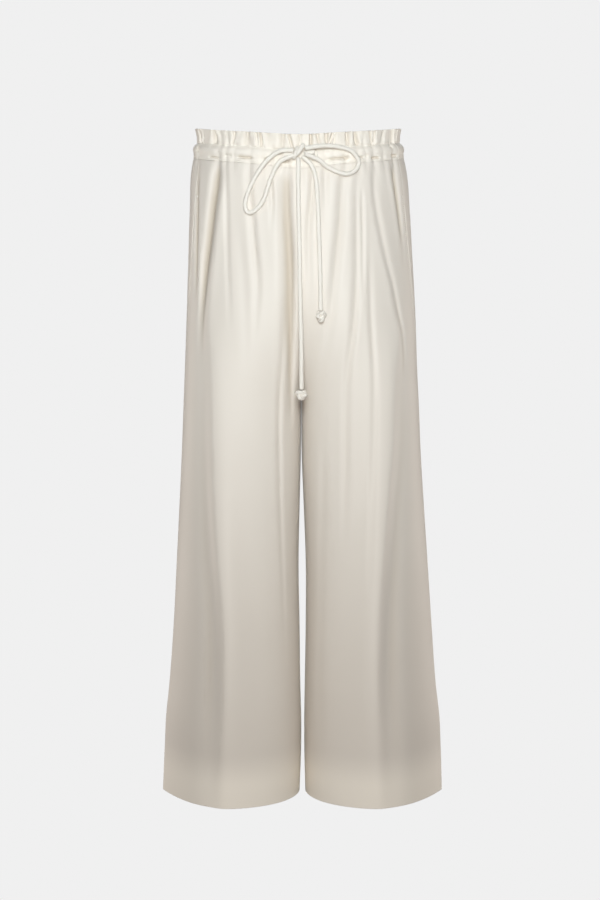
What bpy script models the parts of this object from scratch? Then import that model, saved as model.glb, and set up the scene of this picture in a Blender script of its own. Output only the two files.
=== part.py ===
"""Ivory wide-leg drawstring trousers, filled out as if worn, with nobody in them.

Metres, +Z up. The front faces -Y and the wearer's left is +X. The origin is the middle of the
waist, level with the drawstring at the sides, where a body would hold the trousers up.

Each height ("level") of the garment is a pair of rings, one for each leg. A ring is an ellipse
with a deeper or a shallower back half; above the crotch the two rings run into each other and
are cut off at the middle, so that they make the hips, and at the waist they make one ellipse.
Gathers and folds push the cloth in or out along the ring's own normal.
"""
import math
from collections import namedtuple

import bmesh
import bpy
import numpy as np
from mathutils import Matrix, Vector

# Driving dimensions, in metres
SEAM_GAP = 0.0003
WALL = 0.0016
HEM_WALL = 0.0024
HEADER_TOP = 0.028
CASING_FOOT = -0.0160
CROTCH = -0.380
GROOVE_TOP = -0.100
CROTCH_ROUND = 2.0
TIP_ROUND = 0.2
HEM = -0.976
HEM_TURN_UP = 0.070
CORD_RADIUS = 0.0032
POCKET_TOP = -0.070
POCKET_FOOT = -0.250
POCKET_GAPE = 0.0026
FACING_WIDTH = 0.016
FACING_WALL = 0.0010
FACING_GAP = 0.0011

# The waist line drops towards the middle of the front
FRONT_DROP = 0.0145
FRONT_DROP_POWER = 1.2
BOW_DROP = 0.0065
BOW_DROP_WIDTH = 0.050
DROP_FOOT = -0.300

# Columns and rows of the solids
FRONT_COLUMNS = 34
BACK_COLUMNS = 24
FACING_COLUMNS = 6
FLANK = 0.8
LEAST_COLUMN = 0.0012

Section = namedtuple("Section", "level middle half_width front_depth back_depth half_gap "
                                "side_point inner_point seam_turn")
SECTIONS = [
    Section(0.030, 0.0004, 0.1512, 0.1110, 0.1090, 0.00015, 0.80, 1.00, 22),
    Section(0.008, 0.0008, 0.1502, 0.1075, 0.1050, 0.00015, 0.80, 1.00, 22),
    Section(-0.006, 0.0010, 0.1540, 0.1085, 0.1060, 0.00015, 0.78, 1.00, 22),
    Section(-0.032, 0.0014, 0.1596, 0.1130, 0.1140, 0.00015, 0.75, 1.00, 22),
    Section(-0.092, 0.0026, 0.1641, 0.1160, 0.1210, 0.00015, 0.75, 1.00, 20),
    Section(-0.151, 0.0034, 0.1670, 0.1170, 0.1260, 0.00015, 0.79, 0.94, 18),
    Section(-0.250, 0.0046, 0.1716, 0.1160, 0.1280, 0.00015, 0.87, 0.80, 15),
    Section(-0.331, 0.0045, 0.1748, 0.1130, 0.1220, 0.00015, 0.95, 0.70, 12),
    Section(-0.380, 0.0048, 0.1772, 0.1110, 0.1150, 0.00015, 1.03, 0.66, 11),
    Section(-0.455, 0.0049, 0.1806, 0.1080, 0.1080, 0.00060, 1.18, 0.68, 9),
    Section(-0.533, 0.0055, 0.1852, 0.1060, 0.1040, 0.00300, 1.36, 0.74, 7),
    Section(-0.625, 0.0063, 0.1910, 0.1040, 0.1010, 0.00540, 1.56, 0.82, 5),
    Section(-0.718, 0.0070, 0.1968, 0.1030, 0.1000, 0.00460, 1.74, 0.90, 4),
    Section(-0.811, 0.0069, 0.2040, 0.1025, 0.1000, 0.00330, 1.84, 0.96, 2),
    Section(-0.866, 0.0072, 0.2100, 0.1025, 0.1000, 0.00220, 1.88, 1.00, 1),
    Section(-0.904, 0.0072, 0.2117, 0.1025, 0.1000, 0.00230, 1.90, 1.00, 1),
    Section(-0.976, 0.0067, 0.2145, 0.1030, 0.1000, 0.00440, 1.92, 1.00, 0),
]

# Folds let in by the drawstring: the valley's x, its depth and half width, how far down it runs
Gather = namedtuple("Gather", "x depth width reach")
FRONT_GATHERS = [
    Gather(-0.144, 0.0040, 0.0040, 0.050),
    Gather(-0.113, 0.0045, 0.0050, 0.060),
    Gather(-0.102, 0.0030, 0.0035, 0.060),
    Gather(-0.090, 0.0020, 0.0035, 0.025),
    Gather(-0.0685, 0.0035, 0.0040, 0.050),
    Gather(-0.051, 0.0020, 0.0035, 0.030),
    Gather(-0.0385, 0.0030, 0.0035, 0.040),
    Gather(-0.027, 0.0020, 0.0030, 0.030),
    Gather(-0.0155, 0.0045, 0.0040, 0.060),
    Gather(0.003, 0.0030, 0.0035, 0.030),
    Gather(0.0185, 0.0040, 0.0035, 0.050),
    Gather(0.0375, 0.0040, 0.0040, 0.060),
    Gather(0.050, 0.0020, 0.0035, 0.030),
    Gather(0.066, 0.0050, 0.0040, 0.060),
    Gather(0.083, 0.0030, 0.0035, 0.050),
    Gather(0.094, 0.0020, 0.0030, 0.025),
    Gather(0.106, 0.0045, 0.0045, 0.060),
    Gather(0.119, 0.0020, 0.0035, 0.025),
    Gather(0.1345, 0.0060, 0.0050, 0.070),
]
BACK_GATHERS = [
    Gather(-0.148, 0.0040, 0.0050, 0.070),
    Gather(-0.134, 0.0060, 0.0055, 0.140),
    Gather(-0.115, 0.0040, 0.0045, 0.080),
    Gather(-0.094, 0.0070, 0.0055, 0.150),
    Gather(-0.076, 0.0045, 0.0045, 0.070),
    Gather(-0.058, 0.0065, 0.0050, 0.120),
    Gather(-0.036, 0.0075, 0.0055, 0.160),
    Gather(-0.018, 0.0040, 0.0040, 0.060),
    Gather(0.000, 0.0065, 0.0050, 0.110),
    Gather(0.022, 0.0070, 0.0055, 0.140),
    Gather(0.040, 0.0040, 0.0040, 0.070),
    Gather(0.057, 0.0065, 0.0050, 0.130),
    Gather(0.078, 0.0050, 0.0045, 0.090),
    Gather(0.097, 0.0070, 0.0055, 0.150),
    Gather(0.118, 0.0045, 0.0045, 0.080),
    Gather(0.136, 0.0060, 0.0055, 0.140),
]

# Main folds of the hanging cloth: at each level the valley's x and depth, then its half width at
# its top and foot, towards the middle (inner) and away from it (outer). A negative depth is a
# rounded edge, where the flat front or back of a leg turns to its side.
SMALL_BANKS, TURN_BANKS = (0.30, 0.20), (0.10, 0.40)
Crease = namedtuple("Crease", "levels x depth inner outer banks", defaults=(SMALL_BANKS,))
FRONT_CREASES = [
    Crease((-0.006, -0.052, -0.109, -0.167, -0.210, -0.251),
           (-0.1443, -0.1460, -0.1477, -0.1488, -0.1497, -0.1514),
           (0.0030, 0.0060, 0.0080, 0.0080, 0.0050, 0.0000), (0.005, 0.005), (0.008, 0.008)),
    Crease((-0.003, -0.024, -0.053, -0.082, -0.120, -0.179, -0.224, -0.268, -0.326),
           (-0.1129, -0.1144, -0.1181, -0.1225, -0.1270, -0.1344, -0.1383, -0.1407, -0.1417),
           (0.0030, 0.0060, 0.0080, 0.0090, 0.0090, 0.0090, 0.0070, 0.0040, 0.0000), (0.007, 0.009), (0.010, 0.010)),
    Crease((-0.001, -0.027, -0.091, -0.129, -0.160, -0.199, -0.252, -0.311),
           (-0.0692, -0.0700, -0.0659, -0.0631, -0.0603, -0.0582, -0.0605, -0.0635),
           (0.0020, 0.0020, 0.0025, 0.0030, 0.0030, 0.0020, 0.0010, 0.0000), (0.004, 0.005), (0.005, 0.007)),
    Crease((-0.026, -0.044, -0.073, -0.096, -0.119),
           (-0.0400, -0.0386, -0.0372, -0.0379, -0.0387),
           (0.0000, 0.0030, 0.0025, 0.0008, 0.0000), (0.003, 0.003), (0.003, 0.003)),
    Crease((-0.006, -0.048, -0.101, -0.148, -0.220, -0.297, -0.369, -0.420),
           (-0.0163, -0.0156, -0.0135, -0.0107, -0.0100, -0.0100, -0.0100, -0.0101),
           (0.0030, 0.0060, 0.0080, 0.0090, 0.0085, 0.0075, 0.0040, 0.0000), (0.006, 0.007), (0.009, 0.012)),
    Crease((-0.205, -0.252, -0.311, -0.369, -0.427, -0.515, -0.603, -0.691, -0.781),
           (-0.0179, -0.0201, -0.0230, -0.0267, -0.0275, -0.0261, -0.0233, -0.0205, -0.0191),
           (0.0000, 0.0015, 0.0022, 0.0030, 0.0028, 0.0022, 0.0015, 0.0008, 0.0000), (0.005, 0.005), (0.005, 0.006)),
    Crease((-0.238, -0.297, -0.369, -0.442, -0.515, -0.603, -0.691, -0.781, -0.870, -0.973),
           (-0.1268, -0.1242, -0.1231, -0.1219, -0.1194, -0.1139, -0.1062, -0.1043, -0.1062, -0.1095),
           (0.0000, -0.0030, -0.0055, -0.0072, -0.0084, -0.0094, -0.0098, -0.0094, -0.0064, -0.0024), (0.026, 0.032), (0.011, 0.016), TURN_BANKS),
    Crease((0.001, -0.034, -0.056, -0.101, -0.140, -0.180, -0.236),
           (0.0187, 0.0209, 0.0195, 0.0152, 0.0145, 0.0160, 0.0160),
           (0.0015, 0.0030, 0.0035, 0.0030, 0.0025, 0.0015, 0.0000), (0.004, 0.004), (0.004, 0.004)),
    Crease((0.002, -0.026, -0.054, -0.098, -0.159, -0.222, -0.252, -0.297, -0.347),
           (0.0659, 0.0646, 0.0625, 0.0604, 0.0548, 0.0491, 0.0463, 0.0406, 0.0320),
           (0.0020, 0.0025, 0.0030, 0.0035, 0.0035, 0.0025, 0.0018, 0.0008, 0.0000), (0.005, 0.006), (0.006, 0.008)),
    Crease((-0.021, -0.071, -0.131, -0.177, -0.207, -0.268, -0.311, -0.340, -0.398, -0.456, -0.515, -0.603),
           (0.0832, 0.0847, 0.0849, 0.0850, 0.0837, 0.0795, 0.0739, 0.0711, 0.0697, 0.0699, 0.0686, 0.0658),
           (0.0008, 0.0020, 0.0025, 0.0025, 0.0030, 0.0030, 0.0025, 0.0023, 0.0020, 0.0020, 0.0012, 0.0000), (0.005, 0.006), (0.005, 0.006)),
    Crease((-0.002, -0.031, -0.066, -0.111, -0.157, -0.202, -0.224, -0.246, -0.275, -0.304, -0.347),
           (0.1045, 0.1075, 0.1105, 0.1179, 0.1274, 0.1384, 0.1421, 0.1466, 0.1525, 0.1548, 0.1551),
           (0.0016, 0.0018, 0.0020, 0.0020, 0.0020, 0.0024, 0.0028, 0.0036, 0.0040, 0.0030, 0.0000), (0.004, 0.006), (0.005, 0.007)),
    Crease((-0.004, -0.028, -0.050, -0.079, -0.102, -0.125, -0.146, -0.175),
           (0.1339, 0.1368, 0.1405, 0.1450, 0.1479, 0.1509, 0.1532, 0.1548),
           (0.0040, 0.0070, 0.0075, 0.0070, 0.0065, 0.0050, 0.0030, 0.0000), (0.005, 0.005), (0.008, 0.008)),
    Crease((-0.253, -0.304, -0.369, -0.442, -0.515, -0.603, -0.691, -0.781, -0.870, -0.973),
           (0.1473, 0.1418, 0.1378, 0.1352, 0.1283, 0.1213, 0.1151, 0.1133, 0.1151, 0.1184),
           (0.0000, -0.0030, -0.0055, -0.0072, -0.0084, -0.0094, -0.0098, -0.0094, -0.0064, -0.0024), (0.026, 0.032), (0.011, 0.016), TURN_BANKS),
]
LONG = (-0.020, -0.200, -0.350, -0.560, -0.780, HEM)
BACK_CREASES = [
    Crease(LONG, (-0.118, -0.130, -0.140, -0.146, -0.150, -0.152),
           (0.0040, 0.0080, 0.0060, 0.0030, 0.0016, 0.0010), (0.007, 0.012), (0.011, 0.014)),
    Crease(LONG, (0.120, 0.134, 0.146, 0.156, 0.160, 0.162),
           (0.0040, 0.0070, 0.0065, 0.0034, 0.0018, 0.0010), (0.007, 0.012), (0.011, 0.014)),
    Crease(LONG, (-0.100, -0.108, -0.116, -0.110, -0.104, -0.106),
           (0.0000, -0.0010, -0.0050, -0.0070, -0.0065, -0.0020), (0.022, 0.032), (0.010, 0.018),
           TURN_BANKS),
    Crease(LONG, (0.104, 0.112, 0.122, 0.118, 0.112, 0.114),
           (0.0000, -0.0010, -0.0050, -0.0070, -0.0060, -0.0020), (0.022, 0.032), (0.010, 0.018),
           TURN_BANKS),
    Crease(LONG, (-0.070, -0.066, -0.056, -0.060, -0.068, -0.074),
           (0.0025, 0.0040, 0.0045, 0.0030, 0.0018, 0.0012), (0.006, 0.010), (0.008, 0.016)),
    Crease(LONG, (0.062, 0.058, 0.048, 0.058, 0.066, 0.070),
           (0.0025, 0.0045, 0.0050, 0.0030, 0.0018, 0.0012), (0.006, 0.010), (0.008, 0.016)),
    Crease(LONG, (-0.022, -0.024, -0.026, -0.030, -0.036, -0.040),
           (0.0020, 0.0030, 0.0028, 0.0018, 0.0010, 0.0008), (0.006, 0.009), (0.008, 0.012)),
    Crease(LONG, (0.030, 0.026, 0.022, 0.034, 0.040, 0.044),
           (0.0020, 0.0030, 0.0026, 0.0018, 0.0010, 0.0008), (0.006, 0.009), (0.008, 0.012)),
    Crease(LONG, (-0.098, -0.100, -0.102, -0.104, -0.106, -0.108),
           (0.0020, 0.0024, 0.0018, 0.0012, 0.0008, 0.0006), (0.006, 0.010), (0.006, 0.010)),
    Crease(LONG, (0.094, 0.098, 0.104, 0.106, 0.106, 0.106),
           (0.0020, 0.0026, 0.0020, 0.0012, 0.0008, 0.0006), (0.006, 0.010), (0.006, 0.010)),
]
CREASE_BANK_AT = 1.7
FOLD_SIDEWAYS = 0.3
MIDDLE_CALM = 0.008

# The casing from its lower stitching up: the cord swells it, and the frill above it waves freely
CasingRow = namedtuple("CasingRow", "level swell wall wave")
CASING_ROWS = [
    CasingRow(CASING_FOOT, 0.0000, 0.0020, 0.55),
    CasingRow(-0.0090, 0.0006, 0.0030, 0.50),
    CasingRow(-0.0045, 0.0032, 0.0072, 0.30),
    CasingRow(0.0000, 0.0042, 0.0088, 0.25),
    CasingRow(0.0045, 0.0032, 0.0072, 0.30),
    CasingRow(0.0085, 0.0006, 0.0028, 0.55),
    CasingRow(0.0180, 0.0012, 0.0020, 1.05),
    CasingRow(HEADER_TOP, 0.0022, 0.0018, 1.15),
]
PANEL_WAVE = 0.55

PANEL_LEVELS = (-0.0165, -0.028, -0.046, -0.070, -0.100, -0.145, -0.195, -0.250, -0.305, -0.345,
                -0.367, CROTCH, -0.430, -0.520, -0.620, -0.720, -0.820, -0.904, -0.908, HEM)

# The drawstring: points along the middle of each stretch that shows
LOOP_RIGHT_ROUTE = [
    (-0.0074, -0.1218, -0.0130), (-0.0226, -0.1220, -0.0133), (-0.0363, -0.1175, -0.0200),
    (-0.0498, -0.1138, -0.0332), (-0.0628, -0.1112, -0.0530), (-0.0722, -0.1102, -0.0735),
    (-0.0757, -0.1096, -0.0890), (-0.0732, -0.1100, -0.0985), (-0.0664, -0.1112, -0.0999),
    (-0.0562, -0.1138, -0.0930), (-0.0480, -0.1165, -0.0800), (-0.0432, -0.1168, -0.0648),
    (-0.0363, -0.1165, -0.0465), (-0.0253, -0.1192, -0.0286), (-0.0064, -0.1218, -0.0198),
]
LOOP_LEFT_ROUTE = [
    (0.0110, -0.1220, -0.0100), (0.0346, -0.1185, -0.0064), (0.0564, -0.1130, -0.0070),
    (0.0750, -0.1072, -0.0120), (0.0848, -0.1038, -0.0216), (0.0872, -0.1026, -0.0304),
    (0.0822, -0.1054, -0.0402), (0.0718, -0.1090, -0.0452), (0.0591, -0.1122, -0.0436),
    (0.0427, -0.1135, -0.0362), (0.0292, -0.1180, -0.0259), (0.0105, -0.1225, -0.0180),
]
TAIL_CENTRE_ROUTE = [
    (0.0006, -0.1205, -0.0242), (0.0006, -0.1203, -0.0545), (0.0010, -0.1210, -0.0908),
    (0.0023, -0.1217, -0.1537), (0.0033, -0.1217, -0.2214), (0.0047, -0.1215, -0.2894),
    (0.0052, -0.1212, -0.3525),
]
TAIL_LEFT_ROUTE = [
    (0.0069, -0.1183, -0.0217), (0.0190, -0.1180, -0.0335), (0.0258, -0.1182, -0.0545),
    (0.0284, -0.1194, -0.0884), (0.0312, -0.1215, -0.1672), (0.0328, -0.1220, -0.2395),
]
ENTRY_RIGHT_ROUTE = [(-0.0190, -0.1162, -0.0180), (-0.0130, -0.1159, -0.0182),
                     (-0.0062, -0.1156, -0.0180)]
ENTRY_LEFT_ROUTE = [(0.0230, -0.1154, -0.0150), (0.0165, -0.1157, -0.0155),
                    (0.0101, -0.1155, -0.0160)]
BOW_KNOT = Vector((0.0016, -0.1195, -0.0135))
BOW_KNOT_SIZE = Vector((0.0170, 0.0140, 0.0200))
END_KNOT_SIZE = Vector((0.0160, 0.0120, 0.0170))


def smooth_rows(levels, values, at):
    """Read a column of a table at any level: a cubic between rows, with the rows' mean slopes."""
    levels, values, at = np.asarray(levels), np.asarray(values), np.asarray(at, float)
    order = np.argsort(levels)
    x, y = levels[order], values[order]
    slope = np.gradient(y, x)
    at = np.clip(at, x[0], x[-1])
    i = np.clip(np.searchsorted(x, at) - 1, 0, len(x) - 2)
    span = x[i + 1] - x[i]
    t = (at - x[i]) / span
    return ((2 * t**3 - 3 * t**2 + 1) * y[i] + (t**3 - 2 * t**2 + t) * span * slope[i]
            + (3 * t**2 - 2 * t**3) * y[i + 1] + (t**3 - t**2) * span * slope[i + 1])


def section(column, level):
    return smooth_rows([row.level for row in SECTIONS],
                       [getattr(row, column) for row in SECTIONS], level)


def smooth_step(start, end, value):
    t = np.clip((value - start) / (end - start), 0, 1)
    return t * t * (3 - 2 * t)


def part_of_crotch(level):
    """0 where the two legs' rings are one ellipse, 1 from the crotch down, a round U between."""
    fallen = np.clip((GROOVE_TOP - level) / (GROOVE_TOP - CROTCH), 0, 1)
    return 1 - (1 - fallen ** 2) ** CROTCH_ROUND


def ring_sizes(level, half_gap):
    """A leg ring's middle and half width, measured from the garment's middle."""
    reach = section("half_width", level) - half_gap
    share = part_of_crotch(level)
    return half_gap + reach * share / (1 + share), reach / (1 + share)


def middle_angle(level):
    """The ring angle at which the garment's middle cuts the ring off."""
    share = part_of_crotch(level)
    return np.arccos(-share)


def plain_ring(side, level, angle, half_gap):
    """x = centre + radius * cos(angle), y = -depth * sine * (sine**2 + r**2)**((point - 1) / 2).

    The front is positive. A point above 1 draws the ring out to the side, below 1 it squares it,
    and the small r keeps the tip round, as folded cloth is. The divisor makes the middle full."""
    centre, radius = ring_sizes(level, half_gap)
    sine = np.sin(angle)
    point = np.where(np.cos(angle) > 0, section("side_point", level), section("inner_point", level))
    depth = np.where(angle > 0, section("front_depth", level), section("back_depth", level))
    x = section("middle", level) + side * (centre + radius * np.cos(angle))
    shape = ((sine ** 2 + TIP_ROUND ** 2) / (1 + TIP_ROUND ** 2)) ** ((point - 1) / 2)
    return x, -depth * sine * shape


def ring_normal(side, level, angle, half_gap):
    """The level, outward unit normal of the ring, from two points close by."""
    step = 0.01
    x0, y0 = plain_ring(side, level, angle - step, half_gap)
    x1, y1 = plain_ring(side, level, angle + step, half_gap)
    across, along = side * (y0 - y1), side * (x1 - x0)
    size = np.hypot(across, along)
    return across / size, along / size


def waist_angle(side, angle):
    """One angle all round the waist: 0 at the left side, 90 degrees at the middle front."""
    return np.where(side > 0, angle, math.pi - angle)


def gather_angles():
    """Each gather with its waist angle."""
    half_width = float(section("half_width", 0.0))
    fronts = [(gather, math.acos(gather.x / half_width)) for gather in FRONT_GATHERS]
    backs = [(gather, -math.acos(gather.x / half_width)) for gather in BACK_GATHERS]
    return fronts + backs


def gather_push(side, level, angle):
    """How far the drawstring's gathers push the cloth out, 1 at the waist and less lower down."""
    turn = waist_angle(side, angle)
    radius = math.sqrt(float(section("half_width", 0.0) * section("front_depth", 0.0)))
    below = np.maximum(CASING_FOOT - level, 0)
    push = np.zeros(np.broadcast(level, angle).shape)
    for gather, centre in gather_angles():
        away = (turn - centre + math.pi) % (2 * math.pi) - math.pi
        spread = gather.width * (1 + 0.9 * below / gather.reach)
        fade = np.exp(-(below / (0.55 * gather.reach)) ** 2)
        valley = np.exp(-(away * radius / spread) ** 2)
        push += gather.depth * fade * (0.30 - valley) * np.exp(-(away * radius / 0.030) ** 2)
    return push


def crease_push(side, level, angle, half_gap):
    """Sum of the creases: depth * (bank * (q/1.7)**2 * exp(1-(q/1.7)**2) - exp(-q**2)).

    q is the way round the ring from the valley over its width, which differs towards the middle
    of the garment (inner) and away from it (outer), so a fold can be steep on one side only."""
    centre, radius = ring_sizes(level, half_gap)
    middle = section("middle", level)
    push = np.zeros(np.broadcast(level, angle).shape)
    for face, creases in ((1, FRONT_CREASES), (-1, BACK_CREASES)):
        depth_of_ring = section("front_depth" if face > 0 else "back_depth", level)
        for crease in creases:
            if np.all(side * sum(crease.x) < 0):
                continue
            top, foot = crease.levels[0], crease.levels[-1]
            valley_x = smooth_rows(crease.levels, crease.x, level)
            cosine = (np.abs(valley_x - middle) - centre) / radius
            valley_angle = face * np.arccos(np.clip(cosine, -0.99, 0.99))
            away = face * (angle - valley_angle) * np.sqrt(radius * depth_of_ring)
            fallen = np.clip((top - level) / (top - foot), 0, 1)
            inner, outer = (pair[0] + (pair[1] - pair[0]) * fallen
                            for pair in (crease.inner, crease.outer))
            q = away / np.where(away > 0, inner, outer)
            bank = np.where(away > 0, crease.banks[0], crease.banks[1])
            swell = (q / CREASE_BANK_AT) ** 2
            depth = smooth_rows(crease.levels, crease.depth, level)
            own_leg = np.where(side * sum(crease.x) > 0, 1.0, 0.0)
            push += own_leg * depth * (bank * swell * np.exp(1 - swell) - np.exp(-q ** 2))
    from_middle = (np.abs(angle) - middle_angle(level)) * radius
    calm = 1 - np.exp(-(from_middle / MIDDLE_CALM) ** 2)
    return push * calm * smooth_step(CASING_FOOT + 0.006, -0.040, level)


def cloth_point(side, level, angle, inward=0.0, wave=PANEL_WAVE, half_gap=None):
    """The point on the cloth's outer face, or inward of it: ring + normal * (gathers + folds).

    The folds go mostly straight back, with little of the normal's sideways part."""
    if half_gap is None:
        half_gap = section("half_gap", level)
    x, y = plain_ring(side, level, angle, half_gap)
    normal_x, normal_y = ring_normal(side, level, angle, half_gap)
    push = wave * gather_push(side, level, angle) - inward
    fold = crease_push(side, level, angle, half_gap)
    middle = section("middle", level)
    moved = x + normal_x * (push + FOLD_SIDEWAYS * fold)
    own_side = middle + side * np.maximum(side * (moved - middle), half_gap)
    front = np.clip(np.sin(angle), 0, 1) ** FRONT_DROP_POWER
    bow = np.exp(-(x / BOW_DROP_WIDTH) ** 2) * (1 - 0.6 * smooth_step(-0.010, HEADER_TOP, level))
    drop = front * (FRONT_DROP + BOW_DROP * bow)
    z = level - drop * smooth_step(DROP_FOOT, -0.030, level)
    return np.stack(np.broadcast_arrays(own_side, y + normal_y * (push + fold), z), axis=-1)


def seam_angle(level, edge):
    """The side seam's ring angle; edge is +1 for the front panel's edge and -1 for the back's."""
    inside_pocket = (smooth_step(POCKET_FOOT, POCKET_FOOT + 0.05, level)
                     * (1 - smooth_step(POCKET_TOP - 0.05, POCKET_TOP, level)))
    gap = SEAM_GAP / 2 + POCKET_GAPE / 2 * inside_pocket
    radius = np.sqrt(section("half_width", level) * section("front_depth", level))
    return np.radians(section("seam_turn", level)) + edge * gap / radius


def material(name, colour, roughness):
    shade = bpy.data.materials.new(name)
    shade.use_nodes = True
    shader = shade.node_tree.nodes["Principled BSDF"]
    shader.inputs["Base Color"].default_value = (*colour, 1)
    shader.inputs["Roughness"].default_value = roughness
    shader.inputs["Metallic"].default_value = 0.0
    return shade


def shell(name, outer, inner, finish):
    """A closed wall between two grids of points of the same rows and columns."""
    rows, columns = outer.shape[:2]
    count = rows * columns
    faces = []
    for r in range(rows - 1):
        for c in range(columns - 1):
            a = r * columns + c
            quad = (a, a + 1, a + columns + 1, a + columns)
            faces.append(quad)
            faces.append(tuple(count + i for i in reversed(quad)))
    rim = ([c for c in range(columns)] + [r * columns + columns - 1 for r in range(1, rows)]
           + [(rows - 1) * columns + c for c in range(columns - 2, -1, -1)]
           + [r * columns for r in range(rows - 2, 0, -1)])
    for a, b in zip(rim, rim[1:] + rim[:1]):
        faces.append((b, a, count + a, count + b))
    points = np.concatenate([outer.reshape(-1, 3), inner.reshape(-1, 3)])
    mesh = bpy.data.meshes.new(name)
    mesh.from_pydata(points.tolist(), [], faces)
    return finished(name, mesh, finish)


def finished(name, mesh, finish):
    """Point the faces outwards, shade them smooth and put the mesh in the scene."""
    build = bmesh.new()
    build.from_mesh(mesh)
    bmesh.ops.recalc_face_normals(build, faces=build.faces)
    build.to_mesh(mesh)
    build.free()
    mesh.shade_smooth()
    mesh.set_sharp_from_angle(angle=math.radians(50))
    mesh.materials.append(finish)
    piece = bpy.data.objects.new(name, mesh)
    bpy.context.scene.collection.objects.link(piece)
    return piece


def panel(name, side, face, columns, finish):
    """One front or back leg panel, from its middle seam and inseam round to the side seam."""
    level = np.array(PANEL_LEVELS)[:, None]
    share = np.linspace(0, 1, columns + 1)[None, :]
    start = face * middle_angle(level)
    angle = start + (seam_angle(level, face) - start) * share
    wall = np.where(level < HEM + HEM_TURN_UP, HEM_WALL, WALL)
    return shell(name, cloth_point(side, level, angle), cloth_point(side, level, angle, wall),
                 finish)


def casing_columns(face):
    """Waist angles of a casing's columns: each gather's valley, its two flanks and the ridge."""
    seam = float(np.radians(section("seam_turn", 0.0)))
    gap = SEAM_GAP / 2 / float(section("front_depth", 0.0))
    if face > 0:
        low, high = seam + gap, math.pi - seam - gap
    else:
        low, high = -math.pi - seam + gap, seam - gap
    radius = math.sqrt(float(section("half_width", 0.0) * section("front_depth", 0.0)))
    valleys = sorted((centre + turn, gather.width / radius)
                     for gather, centre in gather_angles() for turn in (-2 * math.pi, 0)
                     if low < centre + turn < high)
    turns = [low, high]
    for i, (centre, width) in enumerate(valleys):
        turns += [centre - FLANK * width, centre, centre + FLANK * width]
        following = valleys[i + 1][0] if i + 1 < len(valleys) else high
        turns.append((centre + following) / 2)
    turns.append((low + valleys[0][0]) / 2)
    turns.sort()
    least = LEAST_COLUMN / radius
    kept = [turns[0]]
    for turn in turns[1:-1]:
        if turn - kept[-1] > least and turns[-1] - turn > least:
            kept.append(turn)
    return np.array(kept + [turns[-1]])


def casing(name, face, finish):
    """Half of the waist casing with its frill, from one side seam to the other."""
    turn = casing_columns(face)[None, :]
    turn = (turn + math.pi) % (2 * math.pi) - math.pi
    side = np.where(np.abs(turn) <= math.pi / 2, 1, -1)
    angle = np.where(side > 0, turn, np.where(turn > 0, math.pi - turn, -math.pi - turn))
    level = np.array([row.level for row in CASING_ROWS])[:, None]
    swell = np.array([row.swell for row in CASING_ROWS])[:, None]
    wall = np.array([row.wall for row in CASING_ROWS])[:, None]
    wave = np.array([row.wave for row in CASING_ROWS])[:, None]
    outer = cloth_point(side, level, angle, -swell, wave, 0.0)
    inner = cloth_point(side, level, angle, wall - swell, wave, 0.0)
    return shell(name, outer, inner, finish)


def pocket_facing(name, side, finish):
    """The strip of the pocket that shows through its opening, just behind both panels."""
    level = np.array([row for row in PANEL_LEVELS if POCKET_FOOT <= row <= POCKET_TOP])
    level = level[:, None]
    radius = np.sqrt(section("half_width", level) * section("front_depth", level))
    share = np.linspace(-0.5, 0.5, FACING_COLUMNS + 1)[None, :]
    angle = np.radians(section("seam_turn", level)) + share * FACING_WIDTH / radius
    near = WALL + FACING_GAP
    return shell(name, cloth_point(side, level, angle, near),
                 cloth_point(side, level, angle, near + FACING_WALL), finish)


def smooth_route(points, spacing):
    """A Catmull-Rom curve through the points, read again at about even steps."""
    points = np.array(points)
    ends = np.vstack([2 * points[0] - points[1], points, 2 * points[-1] - points[-2]])
    t = np.linspace(0, 1, 12, endpoint=False)[:, None]
    runs = []
    for a, b, c, d in zip(ends, ends[1:], ends[2:], ends[3:]):
        runs.append(0.5 * (2 * b + (c - a) * t + (2 * a - 5 * b + 4 * c - d) * t**2
                           + (3 * b - a - 3 * c + d) * t**3))
    fine = np.vstack(runs + [points[-1:]])
    along = np.concatenate([[0], np.cumsum(np.linalg.norm(np.diff(fine, axis=0), axis=1))])
    stops = np.linspace(0, along[-1], max(3, round(along[-1] / spacing) + 1))
    return np.stack([np.interp(stops, along, fine[:, k]) for k in range(3)], axis=1)


def tube(name, route, finish, spacing=2.6 * 2 * CORD_RADIUS):
    """A round cord along a smooth route, with flat ends."""
    curve = bpy.data.curves.new(name, "CURVE")
    curve.dimensions = "3D"
    curve.bevel_depth = CORD_RADIUS
    curve.bevel_resolution = 2
    curve.use_fill_caps = True
    curve.render_resolution_u = 0
    points = smooth_route(route, spacing)
    spline = curve.splines.new("POLY")
    spline.points.add(len(points) - 1)
    for spot, (x, y, z) in zip(spline.points, points):
        spot.co = (x, y, z, 1)
    curve.materials.append(finish)
    piece = bpy.data.objects.new(name, curve)
    bpy.context.scene.collection.objects.link(piece)
    return piece


def knot(name, centre, size, finish):
    """The rounded lump of a tied knot."""
    mesh = bpy.data.meshes.new(name)
    build = bmesh.new()
    bmesh.ops.create_icosphere(build, subdivisions=2, radius=0.5,
                               matrix=Matrix.Translation(centre) @ Matrix.Diagonal((*size, 1)))
    build.to_mesh(mesh)
    build.free()
    return finished(name, mesh, finish)


def end_knot(name, route, finish):
    """The overhand knot at the end of a tail, just past the tail's last point."""
    last = Vector(route[-1])
    way = (last - Vector(route[-2])).normalized()
    return knot(name, last + way * (END_KNOT_SIZE.z / 2 + SEAM_GAP), END_KNOT_SIZE, finish)


def clear_scene():
    for thing in list(bpy.data.objects):
        bpy.data.objects.remove(thing, do_unlink=True)


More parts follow.
